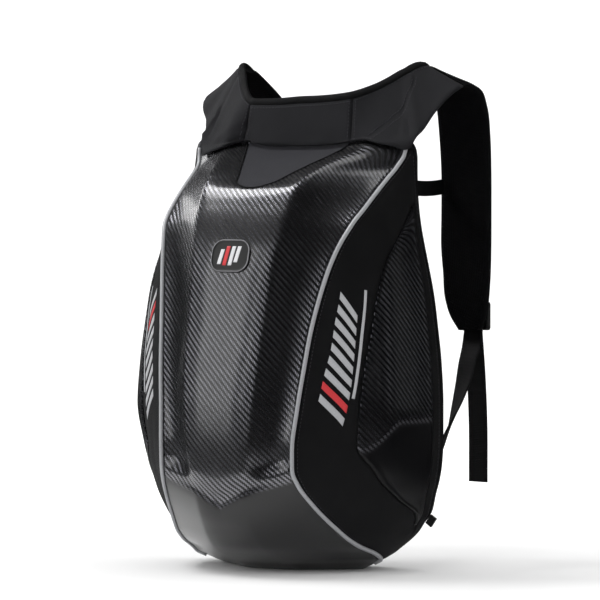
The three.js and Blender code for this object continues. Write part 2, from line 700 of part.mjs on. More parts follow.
// All that the yoke lies on, grown by the gap: the top of the body and its bound edge
function bodyTop() {
  const crown = bodyWall('front', i => ROWS[i].row >= SHELL_TIP, GAP, -6 * SHELL_WALL);
  const rim = plateXZ(inset(backOutline(), -GAP), null, REAR + GAP, -REAR, 0);
  return solid(crown).add(solid(rim));
}

// Straps
function strapRows(side) {
  const [shoulder, first, ...rest] = withFirst(chainRows(side, SHOULDER, FOOT));
  return [
    { ...besideNeck(shoulder), thickness: YOKE_THICKNESS / STRAP_THICKNESS },
    { ...first, thickness: STRAP_ROOT_SHARE },
    ...rest,
  ];
}

// The strap's lower end: its middle, and the way across it
function strapEnd(side) {
  const { a, b } = strapRow(side, STRAP[STRAP.length - 1]);
  return { middle: a.clone().add(b).multiplyScalar(0.5), across: b.clone().sub(a).normalize() };
}

const outerFace = STRAP_THICKNESS / 2 + GAP;

function buckleShape() {
  const shape = new THREE.Shape(roundedRectangle(BUCKLE_WIDTH, BUCKLE_HEIGHT, BUCKLE_BAR / 2));
  const slotHeight = (BUCKLE_HEIGHT - 3 * BUCKLE_BAR) / 2;
  const slotCentre = (slotHeight + BUCKLE_BAR) / 2;
  for (const side of [-1, 1]) {
    const slot = roundedRectangle(BUCKLE_WIDTH - 2 * BUCKLE_BAR, slotHeight, 1, side * slotCentre);
    shape.holes.push(new THREE.Path(slot));
  }
  return shape;
}

function ladderLock(side) {
  const geometry = new THREE.ExtrudeGeometry(buckleShape(), {
    depth: BUCKLE_THICKNESS - 2, bevelEnabled: true, bevelThickness: 1, bevelSize: 1,
    bevelOffset: -1, bevelSegments: 1,
  }).translate(0, 0, 1);
  geometry.rotateX(Math.PI / 2).rotateZ(Math.PI);
  const mesh = new THREE.Mesh(geometry, FINISHES.plastic());
  const { middle, across } = strapEnd(side);
  mesh.rotation.z = Math.atan2(across.y, across.x) + (side < 0 ? Math.PI : 0);
  mesh.position.copy(middle).add(new THREE.Vector3(0, outerFace, BUCKLE_HEIGHT / 2));
  return mesh;
}

function webbingRow(middle, across, width) {
  return {
    a: middle.clone().addScaledVector(across, -width / 2),
    b: middle.clone().addScaledVector(across, width / 2),
  };
}

// Route of the adjuster webbing from the buckle to the back: shares of its fall and of its run
const ADJUSTER = [
  [0, 0], [0.13, 0.06], [0.27, 0.18], [0.42, 0.28], [0.60, 0.44], [0.75, 0.60], [0.88, 0.79], [1, 1],
];

function adjusterRows(side) {
  const { middle, across } = strapEnd(side);
  const start = middle.clone().add(new THREE.Vector3(0, outerFace + BUCKLE_THICKNESS * 0.25, -GAP));
  const end = place(side * ANCHOR_SPREAD, -REAR, ANCHOR_HEIGHT);
  const tilt = THREE.MathUtils.degToRad(ANCHOR_TILT);
  const sewn = new THREE.Vector3(side * Math.cos(tilt), 0, Math.sin(tilt));
  return withNormals(ADJUSTER.map(([fall, run]) => {
    const at = new THREE.Vector3(
      THREE.MathUtils.lerp(start.x, end.x, run),
      THREE.MathUtils.lerp(start.y, end.y, run),
      THREE.MathUtils.lerp(start.z, end.z, fall),
    );
    const turned = across.clone().lerp(sewn, Math.min(1, run * ADJUSTER_TURN)).normalize();
    return webbingRow(at, turned, WEBBING_WIDTH);
  }));
}

function tailRows(side) {
  const { middle, across } = strapEnd(side);
  const top = middle.clone().add(new THREE.Vector3(0, outerFace + BUCKLE_THICKNESS * 0.75, -GAP));
  return withNormals([0, 0.3, 0.6, 1].map(share => {
    const bow = TAIL_BOW * Math.sin(share * Math.PI);
    const along = new THREE.Vector3(side * TAIL_LEAN * share, bow, -TAIL_LENGTH * share);
    return webbingRow(top.clone().add(along), across, WEBBING_WIDTH);
  }));
}

function stabiliserRows(side) {
  const up = new THREE.Vector3(0, 0, 1);
  const row = SECTIONS.findIndex(values => values.height * BODY_HEIGHT >= STABILISER_HEIGHT);
  const start = place(
    side * (section(row).edge[0] - BINDING_RADIUS),
    -REAR,
    STABILISER_HEIGHT,
  );
  const strap = strapRow(side, STRAP[4]);
  const end = strap.a.clone().lerp(strap.b, 0.1);
  end.y -= STRAP_THICKNESS / 2 + 4 * GAP;
  end.z = STABILISER_HEIGHT;
  return withNormals([0, 0.33, 0.66, 1].map(share => {
    const at = start.clone().lerp(end, share);
    at.z -= STABILISER_SAG * Math.sin(share * Math.PI);
    return webbingRow(at, up, STABILISER_WIDTH);
  }));
}

// Small sewn tab on the lower back edge
function edgeTab(side) {
  const row = SECTIONS.findIndex(values => values.height * BODY_HEIGHT >= TAB_CENTRE) - 1;
  const low = section(row);
  const high = section(row + 1);
  const share = (TAB_CENTRE - low.z) / (high.z - low.z);
  const along = new THREE.Vector2(high.edge[0] - low.edge[0], high.z - low.z).normalize();
  const reach = GAP + TAB_REACH / 2;
  const mesh = new THREE.Mesh(
    new THREE.BoxGeometry(TAB_REACH, TAB_THICKNESS, TAB_HEIGHT), FINISHES.webbing());
  mesh.rotation.y = side * Math.atan2(along.x, along.y);
  mesh.position.set(
    side * (THREE.MathUtils.lerp(low.edge[0], high.edge[0], share) + along.y * reach),
    BACK_Y,
    TAB_CENTRE - along.x * reach,
  );
  return mesh;
}

// The pieces
const bag = new THREE.Group();
const SIDES = [[1, 'right'], [-1, 'left']];

function add(name, geometry, material) {
  const mesh = new THREE.Mesh(geometry, material);
  mesh.name = name;
  bag.add(mesh);
}

function addPair(name, geometry, material) {
  add(`${name}_right`, geometry, material());
  add(`${name}_left`, mirrored(geometry), material());
}

function addFrontShell() {
  const isFront = (i, j) => cellFill(i, j) === 'front';
  const isTop = (i, j) => isFront(i, j) && ROWS[i].row >= SHELL_TIP;
  const prism = margin => solid(prismZ(insetPlan(margin), BODY_HEIGHT * 0.8, BODY_HEIGHT * 1.05));
  const shell = bodyWall('front', isFront, 0, -SHELL_WALL);
  const cut = prism(0);
  add('front_shell', fromSolid(solid(shell).subtract(cut)), FINISHES.carbon());
  const lining = bodyWall('front', isTop, -INSET_RECESS, -INSET_RECESS - INSET_WALL);
  const plug = prism(GAP);
  add('top_inset', fromSolid(solid(lining).intersect(plug)), FINISHES.mesh());
}

function addEmblem() {
  const reach = BODY_HEIGHT * 0.12;
  const near = (i, j) => Math.abs(section(ROWS[i].row).z - EMBLEM_CENTRE) < reach
    && sideways(j) <= 5 && sideways(j + 1) <= 5;
  const slab = bodyWall('front', near, GAP + EMBLEM_THICKNESS, GAP);
  const outline = roundedRectangle(EMBLEM_WIDTH, EMBLEM_HEIGHT, EMBLEM_CORNER, EMBLEM_CENTRE);
  const cookie = plateXZ(outline, null, BODY_DEPTH + SHELL_WALL, BODY_DEPTH * 0.6, 0);
  add('emblem_plate', fromSolid(solid(slab).intersect(solid(cookie))), FINISHES.plastic());
}

function addBodySides() {
  addPair('piping', bodyWall('piping', rightHalf('piping'), 0, -CLOTH_WALL), FINISHES.reflective);
  addPair('side_panel', bodyWall('panel', rightHalf('panel'), 0, -CLOTH_WALL), FINISHES.cloth);
  addPair('side_shell', bodyWall('shell', rightHalf('shell'), 0, -SHELL_WALL), FINISHES.carbon);
  addPair('gusset', bodyWall('gusset', rightHalf('gusset'), 0, -CLOTH_WALL), FINISHES.cloth);
}

function addBack() {
  const outline = backOutline();
  const hole = inset(outline, 2 * BINDING_RADIUS).reverse();
  add('edge_binding', plateXZ(outline, hole, BINDING_RADIUS, -BINDING_RADIUS, 1.2), FINISHES.webbing());
  const pad = backOutline(BACK_PAD_WIDTH_SHARE, BACK_PAD_HEIGHT_SHARE);
  add('back_panel', plateXZ(pad, null, -REAR, -REAR - BACK_PAD, 1.5), FINISHES.mesh());
}

function addYoke() {
  const under = bodyTop();
  const part = rows => fromSolid(solid(ribbon(rows, YOKE_THICKNESS, SOFT_PROFILE)).subtract(under));
  const centre = [...chainRows(-1, 1, YOKE_HALF).reverse(), ...chainRows(1, 0, YOKE_HALF)];
  add('yoke_centre', part(withLast(withFirst(centre)).map(besideNeck)), FINISHES.neoprene());
  for (const [side, name] of SIDES) {
    const rows = withLast(withFirst(chainRows(side, YOKE_HALF, SHOULDER))).map(besideNeck);
    add(`yoke_wing_${name}`, part(rows), FINISHES.neoprene());
  }
  const neck = [...chainRows(-1, 1, SHOULDER).reverse(), ...chainRows(1, 0, SHOULDER)];
  add('neck_binding', ribbon(neck.map(neckStrip), NECK_BINDING_THICKNESS, FLAT_PROFILE),
    FINISHES.webbing());
}

const RIBBONS = { stabiliser: stabiliserRows, adjuster: adjusterRows, tail: tailRows };
const FITTINGS = { ladder_lock: ladderLock, edge_tab: edgeTab };

function addStraps() {
  for (const [side, name] of SIDES) {
    add(`strap_${name}`, ribbon(strapRows(side), STRAP_THICKNESS, SOFT_PROFILE), FINISHES.mesh());
    for (const [piece, rows] of Object.entries(RIBBONS)) {
      add(`${piece}_${name}`, ribbon(rows(side), WEBBING_THICKNESS, FLAT_PROFILE), FINISHES.webbing());
    }
    for (const [piece, make] of Object.entries(FITTINGS)) {
      const mesh = make(side);
      mesh.name = `${piece}_${name}`;
      bag.add(mesh);
    }
  }
}

addFrontShell();
addEmblem();
addBodySides();
addBack();
addYoke();
addStraps();

export default bag;
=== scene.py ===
"""Motorcycle backpack with a moulded front shell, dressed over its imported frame.

Shapes are worked out in millimetres: -Y is the shell side, +Y the wearer's side, +Z up.
A depth ("out") is measured forward from the back plane.
"""
import math
import bpy
import bmesh
from mathutils import Matrix, Vector, noise
from mathutils.bvhtree import BVHTree


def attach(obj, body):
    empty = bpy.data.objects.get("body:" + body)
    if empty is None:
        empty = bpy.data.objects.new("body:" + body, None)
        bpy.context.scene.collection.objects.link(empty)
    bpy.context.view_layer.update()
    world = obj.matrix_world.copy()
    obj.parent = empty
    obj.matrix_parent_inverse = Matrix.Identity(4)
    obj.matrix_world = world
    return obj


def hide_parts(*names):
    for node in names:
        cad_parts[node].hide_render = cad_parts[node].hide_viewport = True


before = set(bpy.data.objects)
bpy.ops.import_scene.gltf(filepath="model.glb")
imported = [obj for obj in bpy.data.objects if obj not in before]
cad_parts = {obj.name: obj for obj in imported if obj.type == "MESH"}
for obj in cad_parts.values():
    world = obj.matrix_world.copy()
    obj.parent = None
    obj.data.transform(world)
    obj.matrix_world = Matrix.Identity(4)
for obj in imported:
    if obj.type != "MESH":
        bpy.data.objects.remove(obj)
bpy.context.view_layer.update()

MM = 0.001

# Driving sizes of the bag, as in the frame but for how slack cloth hangs
HEIGHT, WIDTH, DEPTH, BACK_Y = 417, 306, 172, 25
HALF = WIDTH / 2
BINDING_RADIUS, GAP = 3.5, 0.3
REAR = BINDING_RADIUS + GAP
VALLEY_DEPTH, CREASE_HEIGHT, CREASE_RISE, CREASE_DIP, CREASE_SPREAD = 12, 72, 28, 3, 8
SIDE_PUFF = 2
GUSSET_SHARE, LEAST_REAR_SHARE = 0.82, 0.4
PIPING_WIDTH = 3.8
INSET_WIDTH, INSET_LENGTH, INSET_TIP_OUT = 120, 98, 107
TIP_WIDE, TIP_DEEP, TIP_TURN = 0.42, 0.36, 1.4  # the tongue's tip arc, as shares of its half width
YOKE_THICKNESS, YOKE_RISE = 5, 75
NECK_BINDING_WIDTH, NECK_BINDING_THICKNESS = 8, 7
STRAP_WIDTH, STRAP_THICKNESS = 64.5, 9
STRAP_REACH, STRAP_SPREAD, STRAP_DROP, STRAP_YAW = 107, 119.8, 189, 14
LEFT_DROOP, LEFT_TUCK = 14, 15
BUCKLE_THICKNESS = 6
WEBBING_WIDTH, WEBBING_THICKNESS = 25, 1.6

CENTRE, RIDGE, PIPING, BULGE, EDGE = range(5)
BASE_LIP, SHELL_FOOT, SHELL_TIP, TOP_LIP = 3, 8, 21, 26

# Sections of the body from the base to the top. Heights are shares of the body's height,
# sideways places shares of its half width, depths ("out") shares of its depth; "panel" is the
# station where the side shell begins.
COLUMNS = "height edge bulge bulge_out piping piping_out ridge ridge_out centre_out panel".split()
SECTIONS = [
    (0.000, 0.431, 0.412, 0.000, 0.392, 0.000, 0.157, 0.000, 0.000, 3.10),
    (0.000, 0.431, 0.438, 0.019, 0.458, 0.061, 0.183, 0.168, 0.180, 3.10),
    (0.000, 0.431, 0.454, 0.037, 0.497, 0.108, 0.196, 0.322, 0.346, 3.20),
    (0.018, 0.549, 0.588, 0.067, 0.621, 0.156, 0.196, 0.453, 0.477, 3.30),
    (0.030, 0.608, 0.654, 0.078, 0.680, 0.185, 0.196, 0.554, 0.584, 3.35),
    (0.044, 0.680, 0.693, 0.108, 0.673, 0.251, 0.196, 0.649, 0.679, 3.45),
    (0.062, 0.758, 0.732, 0.180, 0.644, 0.376, 0.190, 0.744, 0.774, 3.55),
    (0.086, 0.830, 0.765, 0.251, 0.616, 0.489, 0.186, 0.810, 0.839, 3.66),
    (0.106, 0.868, 0.786, 0.285, 0.592, 0.556, 0.182, 0.850, 0.880, 3.70),
    (0.134, 0.922, 0.810, 0.328, 0.559, 0.643, 0.176, 0.899, 0.929, 3.60),
    (0.173, 0.948, 0.837, 0.370, 0.520, 0.750, 0.176, 0.941, 0.964, 3.20),
    (0.211, 0.977, 0.859, 0.400, 0.489, 0.834, 0.183, 0.967, 0.988, 2.94),
    (0.249, 0.993, 0.882, 0.429, 0.473, 0.878, 0.199, 0.979, 0.997, 2.82),
    (0.300, 1.000, 0.902, 0.459, 0.475, 0.881, 0.232, 0.979, 1.000, 2.67),
    (0.384, 1.000, 0.922, 0.495, 0.493, 0.854, 0.255, 0.970, 0.994, 2.685),
    (0.480, 0.987, 0.912, 0.477, 0.520, 0.816, 0.270, 0.941, 0.964, 2.715),
    (0.564, 0.961, 0.895, 0.450, 0.543, 0.774, 0.275, 0.896, 0.920, 2.78),
    (0.635, 0.935, 0.874, 0.423, 0.571, 0.727, 0.283, 0.857, 0.881, 2.83),
    (0.707, 0.895, 0.846, 0.376, 0.607, 0.667, 0.290, 0.822, 0.845, 2.94),
    (0.755, 0.866, 0.827, 0.328, 0.639, 0.611, 0.301, 0.786, 0.810, 3.12),
    (0.803, 0.840, 0.810, 0.263, 0.680, 0.530, 0.314, 0.735, 0.759, 3.38),
    (0.844, 0.825, 0.797, 0.206, 0.703, 0.405, 0.327, 0.679, 0.700, 3.62),
    (0.887, 0.816, 0.781, 0.132, 0.716, 0.257, 0.337, 0.611, 0.614, 3.58),
    (0.911, 0.814, 0.778, 0.084, 0.722, 0.168, 0.343, 0.542, 0.477, 3.50),
    (0.935, 0.813, 0.775, 0.046, 0.731, 0.081, 0.379, 0.417, 0.322, 3.40),
    (0.959, 0.813, 0.778, 0.025, 0.752, 0.037, 0.438, 0.257, 0.162, 3.20),
    (0.976, 0.808, 0.782, 0.016, 0.758, 0.025, 0.477, 0.144, 0.073, 3.10),
    (0.988, 0.797, 0.778, 0.008, 0.758, 0.015, 0.490, 0.084, 0.037, 3.08),
    (1.000, 0.760, 0.743, 0.000, 0.722, 0.000, 0.458, 0.000, 0.000, 3.05),
]
LAST_ROW = len(SECTIONS) - 1

# Neckline and lower edge of a yoke wing from the centre seam to the shoulder:
# neck x, out, lift, droop, then lower edge x, out, lift, droop, and how far the left wing's lower
# edge is drawn in and forward over the body, as shares of its tuck
WING = [
    (0.373, 0.051, 0.613, 0.45, 0.392, 0.150, -0.067, 0.0, 0.00, 0.00),
    (0.431, -0.028, 0.660, 0.40, 0.484, 0.150, -0.045, 0.47, 0.00, 1.00),
    (0.490, -0.131, 0.727, 0.30, 0.575, 0.165, -0.067, 0.64, 0.06, 0.81),
    (0.542, -0.234, 0.813, 0.20, 0.680, 0.135, -0.100, 0.61, 0.41, 0.70),
    (0.582, -0.318, 0.893, 0.10, 0.781, 0.098, -0.140, 0.39, 0.94, 0.68),
    (0.605, -0.360, 0.925, 0.05, 0.822, 0.047, 0.010, 0.7, 1.00, 0.18),
    (0.618, -0.388, 0.953, 0.00, 0.836, -0.056, 0.105, 0.43, 0.82, 0.24),
    (0.640, -0.439, 0.987, 0.00, 0.863, -0.243, 0.360, 0.7, 0.18, 0.00),
    (0.652, -0.495, 0.993, 0.00, 0.915, -0.364, 0.547, 0.9, 0.00, 0.00),
    (0.647, -0.542, 0.973, 0.00, 0.961, -0.486, 0.667, 1.0, 0.00, 0.00),
]
# Rows of the yoke's centre from the middle: share across, neck out, lift, lower edge out, lift
YOKE_CENTRE = [
    (0.00, 0.093, 0.547, 0.165, -0.110),
    (0.35, 0.090, 0.556, 0.165, -0.105),
    (0.70, 0.078, 0.577, 0.160, -0.090),
]
# Centre line of a strap: spread, reach, lift, drop, width, yaw, roll, droop
STRAP = [
    (1.047, 0.673, 0.713, 0.0, 0.862, 0.3, 13, 1.0),
    (1.023, 0.841, 0.433, 0.0, 0.938, 0.5, 5, 0.6),
    (1.006, 0.944, 0.000, 0.0, 0.980, 0.8, 0, 0.3),
    (1.000, 0.990, 0.000, 0.17, 1.000, 1.0, 0, 0.0),
    (1.000, 1.000, 0.000, 0.38, 1.000, 1.0, 0, 0.0),
    (1.000, 1.005, 0.000, 0.58, 1.000, 1.0, 0, 0.0),
    (1.007, 1.010, 0.000, 0.70, 0.950, 1.0, 0, 0.0),
    (1.012, 1.012, 0.000, 0.845, 0.860, 1.0, 0, 0.0),
    (1.028, 1.015, 0.000, 0.935, 0.700, 1.0, 0, 0.0),
    (1.040, 1.020, 0.000, 1.000, 0.430, 1.0, 0, 0.0),
]
SIDES = ((1, "right"), (-1, "left"))


def lerp(a, b, share):
    return a + (b - a) * share


def smoothstep(value, low, high):
    share = min(1.0, max(0.0, (value - low) / (high - low)))
    return share * share * (3 - 2 * share)


def at(x, out, z):
    return Vector((x, BACK_Y - out, z))


# ---------------------------------------------------------------- the body's surface

def even_slopes(values):
    """Slopes through a column of the table that never overshoot its values."""
    gaps = [b - a for a, b in zip(values, values[1:])]
    inner = [0.0 if p * q <= 0 else 2 * p * q / (p + q) for p, q in zip(gaps, gaps[1:])]
    return [gaps[0], *inner, gaps[-1]]


TABLE = {name: [row[k] for row in SECTIONS] for k, name in enumerate(COLUMNS)}
SLOPES = {name: even_slopes(values) for name, values in TABLE.items()}
TABLE_CACHE = {}


def section(row):
    """A section's sizes in millimetres at any row."""
    if row not in TABLE_CACHE:
        low = min(int(row), LAST_ROW - 1)
        t = row - low
        size = {}
        for name, values in TABLE.items():
            a, b = values[low], values[low + 1]
            p, q = SLOPES[name][low], SLOPES[name][low + 1]
            value = a + t * (p + t * (3 * (b - a) - 2 * p - q + t * (p + q - 2 * (b - a))))
            if name.endswith("out"):
                value = REAR + value * (DEPTH - REAR)
            elif name == "height":
                value *= HEIGHT
            elif name != "panel":
                value *= HALF
            size[name] = value
        TABLE_CACHE[row] = size
    return TABLE_CACHE[row]


def front_sink(z, station):
    """How far the front sinks: a crease above the chin, hollow facets beside the plateau."""
    level = z - CREASE_RISE * station / PIPING
    above = smoothstep(level, CREASE_HEIGHT, CREASE_HEIGHT + 2 * CREASE_SPREAD)
    fade = lerp(1, 0.3, smoothstep(z, CREASE_HEIGHT, HEIGHT * 0.6))
    across = 4 * (station - RIDGE) * (PIPING - station) if station > RIDGE else 0
    crease = math.exp(-(((level - CREASE_HEIGHT) / CREASE_SPREAD) ** 2))
    chin = CREASE_DIP * crease * (1 - (station / PIPING) ** 6) if z < CREASE_HEIGHT * 2.5 else 0
    return VALLEY_DEPTH * above * fade * across * (0.6 + 0.4 * (station - RIDGE)) + chin


def facet(start, end, share, puff):
    dx, dout = end[0] - start[0], end[1] - start[1]
    length = math.hypot(dx, dout) or 1
    return start[0] + dx * share - dout / length * puff, start[1] + dout * share + dx / length * puff


def faceted(row, s):
    """The surface with its corners still sharp, on the right side."""
    size = section(row)
    z = size["height"]
    lift = min(1, z / (HEIGHT * 0.15), (HEIGHT - z) / (HEIGHT * 0.15))
    ridge = size["ridge"], size["ridge_out"]
    piping = size["piping"], size["piping_out"]
    bulge = size["bulge"], size["bulge_out"]
    if s <= RIDGE:
        x = ridge[0] * s
        out = ridge[1] + (size["centre_out"] - ridge[1]) * (1 - abs(s) ** 2.5) - lift * front_sink(z, s)
    elif s <= PIPING:
        x, out = facet(ridge, piping, s - RIDGE, -lift * front_sink(z, s))
    elif s <= BULGE:
        x, out = facet(piping, bulge, s - PIPING, lift * SIDE_PUFF * 4 * (s - 2) * (3 - s))
    else:
        x, out = facet(bulge, (size["edge"], 0), s - BULGE, lift * SIDE_PUFF * 4 * (s - 3) * (4 - s))
    return at(x, out, z)


CORNER_REACH = ((RIDGE, 0.065), (BULGE, 0.12))


def body(row, station):
    """The outer surface of the bag. Negative stations are the left side."""
    s = abs(station)
    point = None
    for corner, reach in CORNER_REACH:
        if abs(s - corner) < reach:
            u = (s - corner + reach) / (2 * reach)
            point = (faceted(row, corner - reach) * (1 - u) ** 2
                     + faceted(row, corner) * (2 * u * (1 - u))
                     + faceted(row, corner + reach) * u * u)
    if point is None:
        point = faceted(row, s)
    if station < 0:
        point.x = -point.x
    return point


def body_normal(row, station):
    across = body(row, min(station + 0.04, EDGE)) - body(row, max(station - 0.04, -EDGE))
    along = body(min(row + 0.3, LAST_ROW), station) - body(max(row - 0.3, 0), station)
    return across.cross(along).normalized()


def shift(row, station, distance):
    """The station reached from another by going some millimetres along the section."""
    probe = 0.02 * (1 if distance > 0 else -1)
    step = (body(row, station + probe) - body(row, station)).length
    return station + probe * abs(distance) / step


def rear_station(row):
    return BULGE + max(1 - REAR / section(row)["bulge_out"], LEAST_REAR_SHARE)


def gusset_station(row):
    return BULGE + GUSSET_SHARE * (rear_station(row) - BULGE)


def panel_station(row):
    return min(section(row)["panel"], gusset_station(row) - 0.06)


def evenly(spots, travelled, cell):
    """Values between spots whose distances travelled are about a cell apart."""
    count = max(2, round(travelled[-1] / cell))
    picked, k = [], 0
    for step in range(count + 1):
        goal = travelled[-1] * step / count
        while k < len(spots) - 2 and travelled[k + 1] < goal:
            k += 1
        span = travelled[k + 1] - travelled[k] or 1
        picked.append(lerp(spots[k], spots[k + 1], min(1, (goal - travelled[k]) / span)))
    return picked


def even_rows(first, last, cell):
    """Rows from one to another, about a cell apart on the surface."""
    steps = max(2, int((last - first) * 30))
    rows = [lerp(first, last, k / steps) for k in range(steps + 1)]
    travelled = [0.0]
    for low, high in zip(rows, rows[1:]):
        moves = [(body(high, s) - body(low, s)).length for s in (CENTRE, PIPING, 3.4)]
        travelled.append(travelled[-1] + max(moves))
    return evenly(rows, travelled, cell)


def even_stations(first, last, row, cell):
    """Stations across the body from one to another, about a cell apart on a given row."""
    steps = 400
    fine = [lerp(first, last, k / steps) for k in range(steps + 1)]
    travelled = [0.0]
    for low, high in zip(fine, fine[1:]):
        travelled.append(travelled[-1] + (body(row, high) - body(row, low)).length)
    return evenly(fine, travelled, cell)


# ---------------------------------------------------------------- meshes

PIECES = {}


def sewn_grid(across, along, place, keep=None, origin=(0.5, 0.5), marks=None):
    """A bmesh grid laid over a surface. place(i, j) gives a point in millimetres, and the
    "weave" UV map holds the metres travelled across and along from the origin's row and column."""
    points = [[place(i, j) for i in range(across + 1)] for j in range(along + 1)]
    start_i, start_j = round(origin[0] * across), round(origin[1] * along)
    over, up = {}, {}
    for j in range(along + 1):
        run = 0.0
        for i in range(across + 1):
            run += (points[j][i] - points[j][i - 1]).length if i else 0
            over[i, j] = run
        middle = over[start_i, j]
        for i in range(across + 1):
            over[i, j] -= middle
    for i in range(across + 1):
        run = 0.0
        for j in range(along + 1):
            run += (points[j][i] - points[j - 1][i]).length if j else 0
            up[i, j] = run
        middle = up[i, start_j]
        for j in range(along + 1):
            up[i, j] -= middle
    bm = bmesh.new()
    bmesh.ops.create_grid(bm, x_segments=across, y_segments=along, size=1)
    weave = bm.loops.layers.uv.new("weave")
    layers = {name: bm.verts.layers.float.new(name) for name in (marks or {})}
    cell = {}
    for vert in bm.verts:
        i = round((vert.co.x + 1) / 2 * across)
        j = round((vert.co.y + 1) / 2 * along)
        cell[vert] = i, j
        spot = points[j][i]
        vert.co = Vector((spot.x, spot.y, max(spot.z, 0))) * MM
        for name, mark in (marks or {}).items():
            vert[layers[name]] = mark(i, j)
    for face in bm.faces:
        for loop in face.loops:
            i, j = cell[loop.vert]
            loop[weave].uv = over[i, j] * MM, up[i, j] * MM
    if keep:
        drop = [face for face in bm.faces
                if not keep(min(cell[v][0] for v in face.verts), min(cell[v][1] for v in face.verts))]
        bmesh.ops.delete(bm, geom=drop, context="FACES")
    return bm


def finish_piece(name, bm, material, node, wall=0, soften=0, closed=False):
    """Makes an object of a bmesh, gives it its wall and softened edges, and hangs it on the frame."""
    if closed:
        bmesh.ops.remove_doubles(bm, verts=bm.verts[:], dist=0.00002)
        rims = [edge for edge in bm.edges if edge.is_boundary]
        if rims:
            bmesh.ops.holes_fill(bm, edges=rims, sides=0)
        bmesh.ops.recalc_face_normals(bm, faces=bm.faces[:])
    mesh = bpy.data.meshes.new(name)
    bm.to_mesh(mesh)
    bm.free()
    for polygon in mesh.polygons:
        polygon.use_smooth = True
    mesh.materials.append(material)
    piece = bpy.data.objects.new(name, mesh)
    bpy.context.scene.collection.objects.link(piece)
    if wall:
        thick = piece.modifiers.new("wall", "SOLIDIFY")
        thick.thickness, thick.offset = wall * MM, -1
        thick.use_even_offset = False
    if soften:
        rounded = piece.modifiers.new("soften", "BEVEL")
        rounded.width, rounded.segments = soften * MM, 2
        rounded.limit_method, rounded.angle_limit = "ANGLE", math.radians(50)
    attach(piece, "root")
    if node:
        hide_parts(node)
    PIECES[name] = piece
    return piece


class Line:
    """A smooth line through points, or through rows of numbers, measured by its length."""

    def __init__(self, points, knots=None):
        self.points = [Vector(p) for p in points]
        if knots is None:
            knots = [0.0]
            for a, b in zip(self.points, self.points[1:]):
                knots.append(knots[-1] + max((b - a).length, 1e-6))
        self.knots = knots
        steps = [b - a for a, b in zip(knots, knots[1:])]
        chords = [(b - a) / h for a, b, h in zip(self.points, self.points[1:], steps)]
        inner = [(p * k + q * h) / (h + k) for p, q, h, k in zip(chords, chords[1:], steps, steps[1:])]
        self.slopes = [chords[0], *inner, chords[-1]]

    @property
    def length(self):
        return self.knots[-1]

    def at(self, place):
        place = min(max(place, 0.0), self.length)
        k = 0
        while k < len(self.knots) - 2 and self.knots[k + 1] < place:
            k += 1
        h = self.knots[k + 1] - self.knots[k]
        t = (place - self.knots[k]) / h
        a, b, p, q = self.points[k], self.points[k + 1], self.slopes[k] * h, self.slopes[k + 1] * h
        return a + (p + ((b - a) * 3 - p * 2 - q + (p + q - (b - a) * 2) * t) * t) * t

    def along(self, place):
        return (self.at(place + 0.5) - self.at(place - 0.5)).normalized()


# ---------------------------------------------------------------- materials

def srgb(colour, alpha=1.0):
    """The linear colour of an sRGB hex value."""
    parts = [int(colour[k:k + 2], 16) / 255 for k in (1, 3, 5)]
    return (*(c / 12.92 if c <= 0.04045 else ((c + 0.055) / 1.055) ** 2.4 for c in parts), alpha)


def wire(node, values):
    """Sets a node's inputs, and links each that is given another node's output."""
    for key, value in values.items():
        if isinstance(value, bpy.types.NodeSocket):
            node.id_data.links.new(value, node.inputs[key])
        else:
            node.inputs[key].default_value = value


def add(tree, kind, values=None, out=0, **settings):
    """Adds a shader node with its settings and inputs, and returns the output asked for."""
    made = tree.nodes.new("ShaderNode" + kind)
    for key, value in settings.items():
        setattr(made, key, value)
    wire(made, values or {})
    return made.outputs[out]


def material(name, values):
    """A material with one Principled shader; returns it with its tree and the shader."""
    made = bpy.data.materials.new(name)
    made.use_nodes = True
    tree = made.node_tree
    shader = tree.nodes["Principled BSDF"]
    wire(shader, values)
    return made, tree, shader


def woven(tree, pitch):
    """UV places on the cloth counted in threads of the given pitch in millimetres."""
    uv = add(tree, "UVMap", uv_map="weave")
    return add(tree, "VectorMath", {0: uv, "Scale": 1 / (pitch * MM)}, operation="SCALE")


